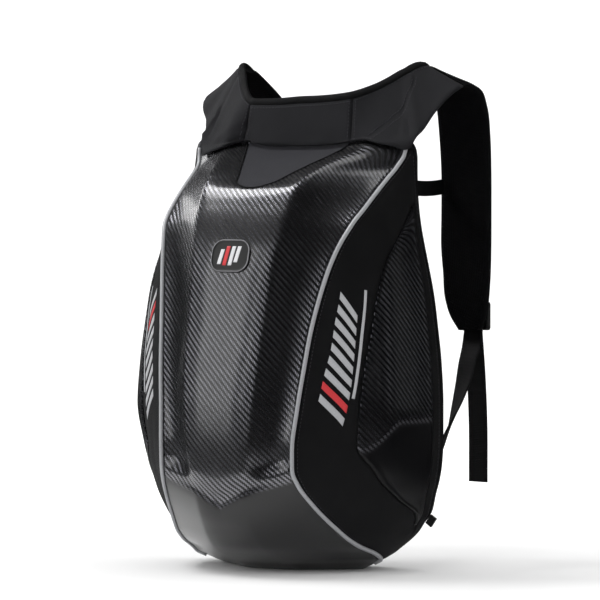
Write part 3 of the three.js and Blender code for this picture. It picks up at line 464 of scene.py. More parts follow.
def carbon_twill(name, tow, gloss, shine, bright):
    """Carbon-look film moulded over foam board: a 2x2 twill of flat tows under a clear gloss.
    Warp tows catch light where weft tows don't, so slanted stripes show wherever light falls.
    The "satin" mark turns the weave to a smooth satin skin."""
    made, tree, shader = material(name, {
        "IOR": 1.5, "Specular IOR Level": shine, "Coat Weight": gloss, "Coat Roughness": 0.14,
        "Coat IOR": 1.5})
    threads = woven(tree, tow)
    whole = add(tree, "VectorMath", {0: threads}, operation="FLOOR")
    part = add(tree, "VectorMath", {0: threads}, operation="FRACTION")
    count = add(tree, "SeparateXYZ", {0: whole}).node.outputs
    inside = add(tree, "SeparateXYZ", {0: part}).node.outputs
    total = add(tree, "Math", {0: count[0], 1: count[1]}, operation="ADD")
    turn = add(tree, "Math", {0: total, 1: 0.25}, operation="MULTIPLY")
    turn = add(tree, "Math", {0: turn}, operation="FRACT")
    warp = add(tree, "Math", {0: turn, 1: 0.5}, operation="LESS_THAN")
    place = add(tree, "Mix", {0: warp, 2: inside[1], 3: inside[0]})
    crown = add(tree, "Math", {0: place, 1: math.pi}, operation="MULTIPLY")
    crown = add(tree, "Math", {0: crown}, operation="SINE")
    satin = add(tree, "Attribute", attribute_name="satin", out="Fac")
    keep = add(tree, "Math", {0: 1.0, 1: satin}, operation="SUBTRACT")
    cloudy = add(tree, "TexNoise", {"Vector": add(tree, "UVMap", uv_map="weave"), "Scale": 45.0,
                                    "Detail": 3.0})
    light = add(tree, "Mix", {0: cloudy, 6: srgb(bright), 7: srgb("#5e5e64")}, out=2, data_type="RGBA")
    tone = add(tree, "Mix", {0: warp, 6: srgb("#060607"), 7: light}, out=2, data_type="RGBA")
    skin = add(tree, "Mix", {0: satin, 6: tone, 7: srgb("#0a0a0c")}, out=2, data_type="RGBA")
    foil = add(tree, "Math", {0: warp, 1: keep}, operation="MULTIPLY")
    rough = add(tree, "Mix", {0: warp, 2: 0.48, 3: 0.27})
    rough = add(tree, "Mix", {0: satin, 2: rough, 3: 0.38})
    strength = add(tree, "Math", {0: keep, 1: 0.9}, operation="MULTIPLY")
    bump = add(tree, "Bump", {"Height": crown, "Strength": strength, "Distance": 0.00016})
    wire(shader, {"Base Color": skin, "Metallic": foil, "Roughness": rough, "Normal": bump})
    return made


def fine_cloth(name, thread, dark, pale, roughness, sheen):
    """Nylon oxford or jersey: plain weave of round threads, matt, with a faint nap, and painted shade where
    the threads meet.
    """
    made, tree, shader = material(name, {
        "Roughness": roughness, "IOR": 1.5, "Sheen Weight": sheen, "Sheen Roughness": 0.4,
        "Specular IOR Level": 0.25})
    threads = woven(tree, thread)
    part = add(tree, "VectorMath", {0: threads}, operation="FRACTION")
    check = add(tree, "TexChecker", {"Vector": threads, "Scale": 1.0}, out="Fac")
    inside = add(tree, "SeparateXYZ", {0: part}).node.outputs
    place = add(tree, "Mix", {0: check, 2: inside[1], 3: inside[0]})
    crown = add(tree, "Math", {0: place, 1: math.pi}, operation="MULTIPLY")
    crown = add(tree, "Math", {0: crown}, operation="SINE")
    cloudy = add(tree, "TexNoise", {"Vector": add(tree, "TexCoord", out="Object"), "Scale": 60.0,
                                    "Detail": 4.0})
    tone = add(tree, "Mix", {0: cloudy, 6: srgb(dark), 7: srgb(pale)}, out=2, data_type="RGBA")
    # painted shade: the weave is coloured darkest at the threads' edges, where they meet
    tone = add(tree, "Mix", {0: crown, 6: srgb(dark), 7: tone}, out=2, data_type="RGBA")
    wire(shader, {"Base Color": tone,
                  "Normal": add(tree, "Bump", {"Height": crown, "Strength": 0.6, "Distance": 0.00018})})
    return made


def spacer_mesh(name, hole, dark, pale, shine, rim="#101012"):
    """Polyester spacer mesh: knitted face full of small round holes, painted darker than the face as
    painted shade in the holes.
    The "rim" mark turns it to the flat knit that binds the edge."""
    made, tree, shader = material(name, {"Roughness": 0.85, "IOR": 1.5, "Specular IOR Level": shine})
    holes = add(tree, "TexVoronoi", {"Vector": woven(tree, hole), "Scale": 1.0, "Randomness": 0.12})
    hole_depth_and_shade = add(tree, "MapRange", {"Value": holes, 1: 0.22, 2: 0.42})
    bound = add(tree, "Attribute", attribute_name="rim", out="Fac")
    # painted shade: the holes are coloured darker than the knit face round them
    tone = add(tree, "Mix", {0: hole_depth_and_shade, 6: srgb(dark), 7: srgb(pale)}, out=2, data_type="RGBA")
    tone = add(tree, "Mix", {0: bound, 6: tone, 7: srgb(rim)}, out=2, data_type="RGBA")
    depth = add(tree, "Math", {0: 1.0, 1: bound}, operation="SUBTRACT")
    depth = add(tree, "Math", {0: depth, 1: 0.8}, operation="MULTIPLY")
    bump = add(tree, "Bump", {"Height": hole_depth_and_shade, "Strength": depth, "Distance": 0.0006})
    wire(shader, {"Base Color": tone, "Normal": bump})
    return made


def ribbed_webbing(name, rib, dark, pale):
    """Woven nylon webbing: raised ribs across its run, with a little sheen, and painted shade in the
    grooves between them.
    """
    made, tree, shader = material(name, {"Roughness": 0.7, "IOR": 1.5, "Specular IOR Level": 0.15})
    along = add(tree, "SeparateXYZ", {0: woven(tree, rib)}, out=1)
    rib_height_and_shade = add(tree, "Math", {0: along, 1: math.pi}, operation="MULTIPLY")
    rib_height_and_shade = add(tree, "Math", {0: add(tree, "Math", {0: rib_height_and_shade}, operation="SINE")}, operation="ABSOLUTE")
    fibre = add(tree, "TexNoise", {"Vector": add(tree, "UVMap", uv_map="weave"), "Scale": 900.0})
    rib_height_and_shade = add(tree, "Math", {0: rib_height_and_shade, 1: fibre, 2: 0.2}, operation="MULTIPLY_ADD")
    # painted shade: the grooves between the ribs are coloured darker
    tone = add(tree, "Mix", {0: rib_height_and_shade, 6: srgb(dark), 7: srgb(pale)}, out=2, data_type="RGBA")
    wire(shader, {"Base Color": tone,
                  "Normal": add(tree, "Bump", {"Height": rib_height_and_shade, "Strength": 0.7, "Distance": 0.0004})})
    return made


def reflective_tape(name):
    """Glass-bead reflective piping: pale grey, grainy, brighter where it faces the light."""
    made, tree, shader = material(name, {"Roughness": 0.42, "Metallic": 0.25, "IOR": 1.5})
    beads = add(tree, "TexNoise", {"Vector": add(tree, "TexCoord", out="Object"), "Scale": 1400.0,
                                   "Detail": 2.0})
    tone = add(tree, "Mix", {0: beads, 6: srgb("#7f8083"), 7: srgb("#aeafb2")}, out=2, data_type="RGBA")
    wire(shader, {"Base Color": tone,
                  "Normal": add(tree, "Bump", {"Height": beads, "Strength": 0.3, "Distance": 0.0002})})
    return made


def moulded_nylon(name, colour="#121214", roughness=0.42, grain=1600.0):
    """Injection-moulded nylon: fine spark-eroded grain and a soft shine. The "rim" mark is a
    printed pale line."""
    made, tree, shader = material(name, {"IOR": 1.53})
    line = add(tree, "Attribute", attribute_name="rim", out="Fac")
    speck = add(tree, "TexNoise", {"Vector": add(tree, "TexCoord", out="Object"), "Scale": grain,
                                   "Detail": 3.0})
    tone = add(tree, "Mix", {0: speck, 6: srgb("#0b0b0c"), 7: srgb(colour)}, out=2, data_type="RGBA")
    tone = add(tree, "Mix", {0: line, 6: tone, 7: srgb("#7c7c80")}, out=2, data_type="RGBA")
    rough = add(tree, "MapRange", {"Value": speck, 3: roughness - 0.08, 4: roughness + 0.1})
    bump = add(tree, "Bump", {"Height": speck, "Strength": 0.25, "Distance": 0.0001})
    wire(shader, {"Base Color": tone, "Roughness": rough, "Normal": bump})
    return made


def flat_vinyl(name, colour, edge):
    """Heat-pressed vinyl print: matt, even, with the cloth's weave faintly pressed through."""
    made, tree, shader = material(name, {"Roughness": 0.55, "IOR": 1.5})
    pressed = add(tree, "TexNoise", {"Vector": add(tree, "TexCoord", out="Object"), "Scale": 700.0,
                                     "Detail": 2.0})
    tone = add(tree, "Mix", {0: pressed, 6: srgb(edge), 7: srgb(colour)}, out=2, data_type="RGBA")
    wire(shader, {"Base Color": tone,
                  "Normal": add(tree, "Bump", {"Height": pressed, "Strength": 0.2, "Distance": 0.0001})})
    return made


def twisted_thread(name, dark, pale):
    """Bonded polyester sewing thread: slightly lustrous plies, darker between them."""
    made, tree, shader = material(name, {"Roughness": 0.55, "IOR": 1.5, "Specular IOR Level": 0.3})
    plies = add(tree, "TexNoise", {"Vector": add(tree, "TexCoord", out="Object"), "Scale": 2400.0})
    tone = add(tree, "Mix", {0: plies, 6: srgb(dark), 7: srgb(pale)}, out=2, data_type="RGBA")
    wire(shader, {"Base Color": tone,
                  "Normal": add(tree, "Bump", {"Height": plies, "Strength": 0.3, "Distance": 0.0001})})
    return made


SHELL_FILM = carbon_twill("carbon_look_film_gloss", 1.55, 0.6, 0.3, "#848489")
SIDE_FILM = carbon_twill("carbon_look_film_side", 1.55, 0.1, 0.15, "#77777c")
BODY_CLOTH = fine_cloth("nylon_oxford_black", 0.9, "#08080a", "#121214", 0.85, 0.01)
NEOPRENE = fine_cloth("neoprene_jersey_charcoal", 0.7, "#141417", "#1f1f23", 0.8, 0.03)
INSET_MESH = spacer_mesh("knit_mesh_fine", 1.5, "#101012", "#36363b", 0.25)
PAD_MESH = spacer_mesh("polyester_spacer_mesh", 3.0, "#010102", "#0a0a0c", 0.05, "#0a0a0b")
WEBBING = ribbed_webbing("nylon_webbing_ribbed", 1.7, "#050506", "#141416")
BINDING = ribbed_webbing("grosgrain_binding", 1.2, "#060607", "#131315")
TAPE = reflective_tape("reflective_bead_tape")
NYLON = moulded_nylon("moulded_nylon_black")
BADGE = moulded_nylon("badge_resin_black", "#0d0d0f", 0.5, 300.0)
WHITE_VINYL = flat_vinyl("vinyl_print_white", "#c9c9cb", "#b3b3b6")
GREY_VINYL = flat_vinyl("vinyl_print_grey_white", "#a3a4a6", "#8b8c8f")
RED_VINYL = flat_vinyl("vinyl_print_red", "#c3252c", "#a81e25")
THREAD = twisted_thread("polyester_thread", "#121214", "#3c3c42")


# ---------------------------------------------------------------- front shell

INSET_SNAP, INSET_SINK = 1.3, 2.6  # how near the cut the shell moves onto it, how far it sinks there
SATIN_TOP, SATIN_FOOT = 5, 9  # the twill fades to satin this far below the crease

FRONT_ROWS = (even_rows(0, BASE_LIP, 4)[:-1] + even_rows(BASE_LIP, TOP_LIP, 2.6)[:-1]
              + even_rows(TOP_LIP, LAST_ROW, 3))
FRONT_HALF = [s / PIPING for s in even_stations(0, PIPING, 14, 2.6)]
LIP_CELLS = 22


def inset_outline(margin):
    """Plan of the mesh tongue, [x, out] points from its left rear corner round the tip."""
    half = INSET_WIDTH / 2 - margin
    rear, tip = INSET_TIP_OUT - INSET_LENGTH + margin, INSET_TIP_OUT - margin
    arc = [(half * TIP_WIDE * math.sin(turn * TIP_TURN),
            tip - half * TIP_DEEP * (1 - math.cos(turn * TIP_TURN)))
           for turn in [k / 10 for k in range(-10, 11)]]
    return [(-half, rear), *arc, (half, rear)]


OUTLINE = inset_outline(0)


def outline_reach(x, out, outline):
    """Signed distance into a plan outline, with the nearest point on its border."""
    best, near, inside = 1e9, None, False
    for (ax, ay), (bx, by) in zip(outline, outline[1:] + outline[:1]):
        ex, ey = bx - ax, by - ay
        length = math.hypot(ex, ey)
        t = min(1, max(0, ((x - ax) * ex + (out - ay) * ey) / length ** 2))
        px, py = ax + ex * t, ay + ey * t
        distance = math.hypot(x - px, out - py)
        if distance < best:
            best, near = distance, (px, py)
        if (ay > out) != (by > out) and x < ax + (out - ay) / (by - ay) * ex:
            inside = not inside
    return (best if inside else -best), near


def front_station(row, i):
    """Station of a front column: the middle span, then a lip on each side out to the back edge."""
    count = len(FRONT_HALF) - 1
    k = i - LIP_CELLS - count
    edge = shift(row, PIPING, -PIPING_WIDTH / 2 - GAP)
    if abs(k) <= count:
        return math.copysign(FRONT_HALF[abs(k)] * edge, k)
    share = (abs(k) - count) / LIP_CELLS
    return math.copysign(lerp(edge, rear_station(row), share), k)


FRONT_ACROSS = 2 * (len(FRONT_HALF) - 1 + LIP_CELLS)
SKIN_POINTS = [[body(row, front_station(row, i)) for i in range(FRONT_ACROSS + 1)] for row in FRONT_ROWS]
SKIN = BVHTree.FromPolygons(
    [p for line in SKIN_POINTS for p in line],
    [(j * (FRONT_ACROSS + 1) + i, j * (FRONT_ACROSS + 1) + i + 1,
      (j + 1) * (FRONT_ACROSS + 1) + i + 1, (j + 1) * (FRONT_ACROSS + 1) + i)
     for j in range(len(FRONT_ROWS) - 1) for i in range(FRONT_ACROSS)])


def skin_below(x, out):
    """The body's top surface under a plan point, with its normal."""
    hit, normal, _, _ = SKIN.ray_cast(at(x, out, HEIGHT + 60), Vector((0, 0, -1)))
    return hit, normal if normal and normal.z > 0 else -normal


def front_point(i, j):
    """A point of the front shell, sunk where the mesh tongue is let in; columns near the
    tongue's outline are moved onto it, so that the cut edge is clean."""
    point = SKIN_POINTS[j][i].copy()
    if FRONT_ROWS[j] < SHELL_TIP - 5 or abs(point.x) > INSET_WIDTH / 2 + 4 or point.z < HEIGHT * 0.8:
        return point
    out = BACK_Y - point.y
    reach, near = outline_reach(point.x, out, OUTLINE)
    if abs(reach) < INSET_SNAP:
        hit, _ = skin_below(*near)
        return hit if hit else point
    if reach > 0:
        normal = body_normal(FRONT_ROWS[j], front_station(FRONT_ROWS[j], i))
        return point - normal * INSET_SINK * smoothstep(reach, 0, 2.4)
    return point


def front_kept(i, j):
    lip = i < LIP_CELLS or i >= FRONT_ACROSS - LIP_CELLS
    row = (FRONT_ROWS[j] + FRONT_ROWS[j + 1]) / 2
    return not lip or row < BASE_LIP or row > TOP_LIP


def satin_mark(i, j):
    """1 on the smooth chin below the crease, 0 on the twill above."""
    row = FRONT_ROWS[j]
    z = section(row)["height"]
    station = min(abs(front_station(row, i)), PIPING)
    level = z - CREASE_RISE * station / PIPING
    return 1 - smoothstep(level, CREASE_HEIGHT - SATIN_FOOT, CREASE_HEIGHT - SATIN_TOP)


bm = sewn_grid(FRONT_ACROSS, len(FRONT_ROWS) - 1, front_point, front_kept,
               marks={"satin": satin_mark})
finish_piece("front_shell_moulded", bm, SHELL_FILM, "front_shell", wall=3)

# ---------------------------------------------------------------- mesh tongue on the top

INSET_ACROSS, INSET_ALONG = 60, 56


def inset_point(i, j):
    """The tongue from its rear edge to its rounded tip, a little crowned, its edge tucked down."""
    half, rear, tip = INSET_WIDTH / 2 - GAP, INSET_TIP_OUT - INSET_LENGTH + GAP, INSET_TIP_OUT - GAP
    v = j / INSET_ALONG
    out = lerp(rear, tip, math.sin(v * math.pi / 2))
    tip_half = half * TIP_WIDE * math.sin(TIP_TURN)
    shoulder = tip - half * TIP_DEEP * (1 - math.cos(TIP_TURN))
    if out < shoulder:
        width = lerp(half, tip_half, (out - rear) / (shoulder - rear))
    else:
        turn = math.acos(max(-1, min(1, 1 - (tip - out) / (half * TIP_DEEP))))
        width = half * TIP_WIDE * math.sin(turn)
    x = width * (2 * i / INSET_ACROSS - 1)
    hit, normal = skin_below(x, out)
    border = min(width - abs(x), tip - out + 0.2, out - rear + 0.2)
    return hit + normal * (-1.7 + 1.2 * smoothstep(border, 0, 2.2) + 0.5 * smoothstep(border, 2, 14))


bm = sewn_grid(INSET_ACROSS, INSET_ALONG, inset_point, origin=(0.5, 0))
bmesh.ops.remove_doubles(bm, verts=bm.verts[:], dist=0.00005)
bm.normal_update()
if sum(face.normal.z for face in bm.faces) < 0:
    bmesh.ops.reverse_faces(bm, faces=bm.faces[:])
finish_piece("top_inset_mesh", bm, INSET_MESH, "top_inset", wall=0.8)


# ---------------------------------------------------------------- tubes and ribbons

def tube(name, line, radii, up, material, node, cell=3, sides=12):
    """A closed tube along a line. radii(place) gives its half width and half height in
    millimetres, and up(place) the outward direction."""
    along = max(3, round(line.length / cell))

    def point(i, j):
        place = line.length * (j / along)
        outward = up(place)
        side = line.along(place).cross(outward).normalized()
        wide, high = radii(place)
        turn = i / sides * 2 * math.pi
        return line.at(place) + side * (wide * math.cos(turn)) + outward * (high * math.sin(turn))

    bm = sewn_grid(sides, along, point, origin=(0.25, 0))
    finish_piece(name, bm, material, node, closed=True)


PIPING_ROWS = even_rows(BASE_LIP, TOP_LIP, 5)
for side, name in SIDES:
    cord_line = Line([body(row, side * PIPING) for row in PIPING_ROWS])
    outward_line = Line([(body_normal(row, side * (PIPING - 0.1)) + body_normal(row, side * (PIPING + 0.1)))
                         .normalized() for row in PIPING_ROWS], cord_line.knots)
    tube("piping_" + name + "_tape", cord_line, lambda place: (PIPING_WIDTH / 2 + 0.15,) * 2,
         lambda place: outward_line.at(place).normalized(), TAPE, "piping_" + name)


inset_edge = []
for (ax, ay), (bx, by) in zip(OUTLINE, OUTLINE[1:]):
    steps = max(1, round(math.hypot(bx - ax, by - ay) / 3))
    inset_edge += [skin_below(lerp(ax, bx, k / steps), lerp(ay, by, k / steps))[0] for k in range(steps)]
inset_edge.append(skin_below(*OUTLINE[-1])[0])
tube("top_inset_seam_cord", Line(inset_edge), lambda place: (0.8, 0.8),
     lambda place: Vector((0, -0.4, 0.9)).normalized(), BINDING, None, cell=2.5, sides=8)


# ---------------------------------------------------------------- sides

SIDE_ROWS = even_rows(BASE_LIP, TOP_LIP, 3)
GUSSET_ROWS = even_rows(BASE_LIP, TOP_LIP, 4)
SHELL_ROWS = even_rows(SHELL_FOOT, SHELL_TIP, 2.6)
WINDOW = [j for j, row in enumerate(SIDE_ROWS) if SHELL_FOOT <= row <= SHELL_TIP]
PANEL_CELLS, WINDOW_CELLS, GUSSET_CELLS = 26, 34, 10
SEAM_SPREAD, SEAM_DEPTH, GUSSET_SEAM = 2.6, 1.5, 0.14
SATIN_PANEL = (117, 124, 26)  # the side shell's satin foot: from and to this height, and its slant


def side_start(row):
    return shift(row, PIPING, PIPING_WIDTH / 2 + 0.1)


def panel_share_station(row, k):
    """Station of a cloth column: the panel up to the window, then across the window."""
    edge = panel_station(row)
    if k <= PANEL_CELLS:
        return lerp(side_start(row), edge, k / PANEL_CELLS)
    return lerp(edge, gusset_station(row), (k - PANEL_CELLS) / WINDOW_CELLS)


def window_depth(row):
    """Rows inside the window's height, in millimetres from its nearer end (negative outside)."""
    z = section(row)["height"]
    low, high = section(SHELL_FOOT)["height"], section(SHELL_TIP)["height"]
    return min(z - low, high - z)


def cloth_point(side, k, j):
    """The cloth side, drawn in along the piping and round the window, slack between its seams."""
    row = SIDE_ROWS[j]
    s = panel_share_station(row, k)
    point = body(row, side * s)
    normal = body_normal(row, side * s)
    width = (body(row, panel_station(row)) - body(row, side_start(row))).length
    from_piping = width * min(1, k / PANEL_CELLS)
    seam = math.exp(-(from_piping / SEAM_SPREAD) ** 2)
    inside = window_depth(row)
    if inside > -6 and k <= PANEL_CELLS:
        from_window = math.hypot(width * (1 - k / PANEL_CELLS), max(0, -inside))
        seam = max(seam, math.exp(-(from_window / SEAM_SPREAD) ** 2))
    elif inside > -6:
        seam = max(seam, math.exp(-(min(0, inside) / SEAM_SPREAD) ** 2))
    fold = noise.noise(Vector((point.x * 0.02, point.y * 0.03, point.z * 0.012))) * 1.6
    fold += noise.noise(Vector((point.x * 0.05, point.y * 0.07, point.z * 0.03 + 9))) * 0.6
    return point + normal * (0.2 - SEAM_DEPTH * seam + fold * (1 - seam))


def shell_point(side, k, j):
    """The side shell in its window, with a raised lip round a slightly sunk field."""
    row = SHELL_ROWS[j]
    s = lerp(panel_station(row), gusset_station(row), k / WINDOW_CELLS)
    point = body(row, side * s)
    normal = body_normal(row, side * s)
    width = (body(row, gusset_station(row)) - body(row, panel_station(row))).length
    border = min(width * k / WINDOW_CELLS, width * (1 - k / WINDOW_CELLS), window_depth(row) + 0.01)
    lip = 0.9 * smoothstep(border, 0, 2.0) - 0.5 * smoothstep(border, 3.5, 6.5)
    return point + normal * (lip - 0.2)


def gusset_point(side, k, j):
    """The cloth band behind the side, drawn in at both seams."""
    row = GUSSET_ROWS[j]
    share = k / GUSSET_CELLS
    s = lerp(gusset_station(row), rear_station(row), share)
    seam = math.exp(-(share / GUSSET_SEAM) ** 2) + math.exp(-((1 - share) / GUSSET_SEAM) ** 2)
    ripple = noise.noise(Vector((0, 3 * side, section(row)["height"] * 0.05))) * 0.5
    return body(row, side * s) + body_normal(row, side * s) * (0.3 - seam + ripple)


def shell_satin(k, j):
    """1 on the side shell's smooth slanted foot, 0 on the twill above."""
    foot, top, slant = SATIN_PANEL
    z = section(SHELL_ROWS[j])["height"]
    return 1 - smoothstep(z - slant * smoothstep(k / WINDOW_CELLS, 0.05, 0.5), foot, top)


def side_grid(side, cells, rows, place, keep=None, mark=None):
    """A grid from the piping backwards, mirrored on the left so that its faces point outwards."""
    column = (lambda i: i) if side > 0 else (lambda i: cells - i)
    return sewn_grid(cells, len(rows) - 1, lambda i, j: place(side, column(i), j),
                     keep and (lambda i, j: keep(min(column(i), column(i + 1)), j)),
                     marks=mark and {"satin": lambda i, j: mark(column(i), j)})


for side, name in SIDES:
    bm = side_grid(side, PANEL_CELLS + WINDOW_CELLS, SIDE_ROWS, cloth_point,
                   lambda k, j: not (k >= PANEL_CELLS and WINDOW[0] <= j < WINDOW[-1]))
    piece = finish_piece("side_panel_" + name + "_cloth", bm, BODY_CLOTH, "side_panel_" + name,
                         wall=2)
    bm = side_grid(side, WINDOW_CELLS, SHELL_ROWS, shell_point, mark=shell_satin)
    finish_piece("side_shell_" + name + "_moulded", bm, SIDE_FILM, "side_shell_" + name,
                 wall=2.5, soften=0.6)
    bm = side_grid(side, GUSSET_CELLS, GUSSET_ROWS, gusset_point)
    piece = finish_piece("gusset_" + name + "_cloth", bm, BODY_CLOTH, "gusset_" + name,
                         wall=2)


# ---------------------------------------------------------------- back

BACK_FOOT = 2  # the row where the back edge starts


def edge_point(row):
    """The middle of the binding on the right back edge."""
    size = section(row)
    return Vector((size["edge"] - BINDING_RADIUS, BACK_Y,
                   lerp(BINDING_RADIUS, HEIGHT - BINDING_RADIUS, size["height"] / HEIGHT)))


right_edge = [edge_point(row) for row in even_rows(BACK_FOOT, LAST_ROW, 6)]
foot, top = [Vector((0, BACK_Y, spot.z)) for spot in (right_edge[0], right_edge[-1])]
left_edge = [Vector((-spot.x, BACK_Y, spot.z)) for spot in reversed(right_edge)]
tube("edge_binding_tape", Line([foot, *right_edge, top, *left_edge, foot]),
     lambda place: (BINDING_RADIUS, BINDING_RADIUS), lambda place: Vector((0, -1, 0)), BINDING,
     "edge_binding")

WALL_ROWS, WALL_CELLS = even_rows(BACK_FOOT, LAST_ROW, 8), 20


def back_wall_point(i, j):
    """The cloth wall inside the binding, behind the hollow shell."""
    spot = edge_point(WALL_ROWS[j])
    return Vector((spot.x * (1 - 2 * i / WALL_CELLS), BACK_Y + 1, spot.z))


bm = sewn_grid(WALL_CELLS, len(WALL_ROWS) - 1, back_wall_point)
finish_piece("back_wall_cloth", bm, BODY_CLOTH, None, wall=1.5)

PAD_ACROSS = 90
PAD_ROWS = even_rows(BACK_FOOT, LAST_ROW, 3.4)
PAD_TOP, PAD_WIDE, PAD_CROWN, PAD_EDGE = 0.965, 0.93, 8, 9
AIR_CHANNEL, PAD_SEAMS, PAD_SEAM_SPREAD = 13, (85, 165, 245, 325), 4.5


def pad_point(i, j):
    """The padded back: two crowned fields beside an air channel, sewn across in four places."""
    row = PAD_ROWS[j]
    half = section(row)["edge"] * PAD_WIDE
    z = section(row)["height"] * PAD_TOP
    across = math.sin((i / PAD_ACROSS - 0.5) * math.pi)
    x = half * across
    border = min((1 - abs(across)) * half, z + 0.01, HEIGHT * PAD_TOP - z + 0.01)
    height = PAD_CROWN * math.sqrt(max(0, 1 - (1 - min(1, border / PAD_EDGE)) ** 2))
    channel = math.exp(-(abs(x) / AIR_CHANNEL) ** 4)
    rows_sewn = sum(math.exp(-((z - level) / PAD_SEAM_SPREAD) ** 2) for level in PAD_SEAMS)
    height *= 1 - 0.55 * channel - 0.4 * min(1, rows_sewn) * (1 - channel)
    return Vector((x, BACK_Y + REAR + max(0.3, height), z))


bm = sewn_grid(PAD_ACROSS, len(PAD_ROWS) - 1, pad_point,
               marks={"rim": lambda i, j: float(min(i, PAD_ACROSS - i) < 3 or j < 2
                                                or j > len(PAD_ROWS) - 4)})
bmesh.ops.reverse_faces(bm, faces=bm.faces[:])
rims = [edge for edge in bm.edges if edge.is_boundary]
grown = bmesh.ops.extrude_edge_only(bm, edges=rims)["geom"]
for vert in [part for part in grown if isinstance(part, bmesh.types.BMVert)]:
    vert.co.y = (BACK_Y + REAR - 0.1) * MM
bmesh.ops.holes_fill(bm, edges=[edge for edge in bm.edges if edge.is_boundary], sides=0)
bmesh.ops.recalc_face_normals(bm, faces=bm.faces[:])
finish_piece("back_panel_pad", bm, PAD_MESH, "back_panel")


# ---------------------------------------------------------------- yoke and straps

def drooped(side, share):
    return LEFT_DROOP * share if side < 0 else 0


def yoke_row(side, neck, lower, tuck=0, wrap=0):
    """Neck and lower points of a yoke row; each is (x share, out share, lift share, droop share)."""
    a, b = [at(side * HALF * x, out * STRAP_REACH, HEIGHT + lift * YOKE_RISE - drooped(side, droop))
            for x, out, lift, droop in (neck, lower)]
    if side < 0:
        b += Vector((LEFT_TUCK * tuck, -LEFT_TUCK * wrap, 0))
    return a, b


def strap_row(side, values):
    spread, reach, lift, drop, width, yaw, roll, droop = values
    yaw, roll = math.radians(STRAP_YAW * yaw), math.radians(roll)
    z = HEIGHT + lift * YOKE_RISE - drop * STRAP_DROP - drooped(side, droop)
    step = math.cos(yaw) * math.cos(roll), math.sin(yaw) * math.cos(roll), -math.sin(roll)
    half = STRAP_WIDTH * width / 2
    return [at(side * (STRAP_SPREAD * spread + way * half * step[0]),
               -STRAP_REACH * reach + way * half * step[1], z + way * half * step[2])
            for way in (-1, 1)]


# How the straps lean from their rows as they hang: the left loop stands back and inwards, the
# right one outwards, in shares of these [x, out, z] millimetres from the shoulder down.
STRAP_LEAN = {-1: Vector((9, 10, 5)), 1: Vector((2, 0, 0))}
LEAN_SHARES = (1.1, 1.1, 1, 0.8, 0.6, 0.4, 0.2)


def half_chain(side):
    rows = []
    for across, neck_out, neck_lift, lower_out, lower_lift in YOKE_CENTRE:
        rows.append(yoke_row(side, (WING[0][0] * across, neck_out, neck_lift, WING[0][3] * across),
                             (WING[0][4] * across, lower_out, lower_lift, 0)))
    rows += [yoke_row(side, row[:4], row[4:8], *row[8:]) for row in WING]
    for k, row in enumerate(STRAP):
        lean = STRAP_LEAN[side] * (LEAN_SHARES[k] if k < len(LEAN_SHARES) else 0)
        rows.append([point + lean for point in strap_row(side, row)])
    return rows


YOKE_HALF = len(YOKE_CENTRE)
SHOULDER = YOKE_HALF + len(WING) - 1
CHAIN = half_chain(-1)[::-1] + half_chain(1)[1:]
FOOT = (len(CHAIN) - 1) // 2
KNOTS = [0.0]
for before, after in zip(CHAIN, CHAIN[1:]):
    KNOTS.append(KNOTS[-1] + (sum(after, Vector()) - sum(before, Vector())).length / 2)
NECK_LINE = Line([row[0] for row in CHAIN], KNOTS)
LOWER_LINE = Line([row[1] for row in CHAIN], KNOTS)


def chain_at(place):
    """Neck point, lower point and outward normal of the yoke and straps at a length."""
    a, b = NECK_LINE.at(place), LOWER_LINE.at(place)
    along = (NECK_LINE.at(place + 2) + LOWER_LINE.at(place + 2)
             - NECK_LINE.at(place - 2) - LOWER_LINE.at(place - 2))
    return a, b, (b - a).cross(along).normalized()


def knot(side, index):
    return KNOTS[FOOT + side * index]


def pad_ring(turn, crown=14):
    """Share across and height of a soft edge-rounded section at a turn round it."""
    top = turn < 0.5
    k = turn * 2 if top else 2 - turn * 2
    share = 0.5 - 0.5 * math.cos(math.pi * k)
    height = max(0.0, 1 - abs(2 * share - 1) ** crown) ** 0.5
    return share, height if top else -height


def clear_of_body(point, least):
    """The point, moved out of the bag where it lies in it or nearer than the given distance."""
    near, normal, _, _ = SKIN.find_nearest(point)
    if near is None:
        return point
    if normal.dot(Vector((0, -1, 0.6))) < 0:
        normal = -normal
    depth = (point - near).dot(normal)
    if depth < least and (point - near).length < 45:
        return point + normal * (least - depth)
    return point


def soft_band(name, first, last, thickness, material, node, slot, begin, sides=44, relief=None,
              lie=False, fill=0.5, crown=14, marks=None):
    """A padded band of the yoke or a strap between two lengths of the chain. thickness(place) is
    in millimetres, and begin(place) the share across where it begins beside the neck binding."""
    cell = 3.0
    along = max(4, round(abs(last - first) / cell))

    def point(i, j):
        place = lerp(first, last, j / along)
        a, b, normal = chain_at(place)
        share, height = pad_ring((i % sides) / sides, crown)
        across_share = lerp(begin(place), 1, share)
        thick = thickness(place)
        base = a.lerp(b, across_share)
        ends = min(1, min(j, along - j) * cell / 2.5) ** 0.5 if thick < 8 else 1
        ends = 0.45 + 0.55 * ends
        shape = relief(place, across_share) if relief else 0
        moved = base + normal * (height * thick / 2 * ends + shape)
        if lie:
            moved = clear_of_body(moved, 0.6 + (height + 1) * thick / 2 * 0.9)
        return moved

    made_marks = {key: (lambda i, j, f=mark: f(pad_ring((i % sides) / sides, crown)[0]))
                  for key, mark in (marks or {}).items()}
    bm = sewn_grid(sides, along, point, origin=(0.25, 0), marks=made_marks)
    piece = finish_piece(name, bm, material, node, closed=True)


def beside_neck(place):
    a, b, _ = chain_at(place)
    return (NECK_BINDING_WIDTH - 1.5) / (b - a).length


# Seams and a deep fold of the yoke: from and to [millimetres along it from its middle, share
# across it], then depth and half width
YOKE_SEAMS = [((130, 0.22), (72, 0.98), 1.2, 1.9), ((-129, 0.57), (-80, 0.66), 0.9, 1.8),
              ((-60, 0.66), (-100, 1.02), 1.5, 4.0)]
TURNED_HEM = 5  # how far the left wing's corner turns in under its fold


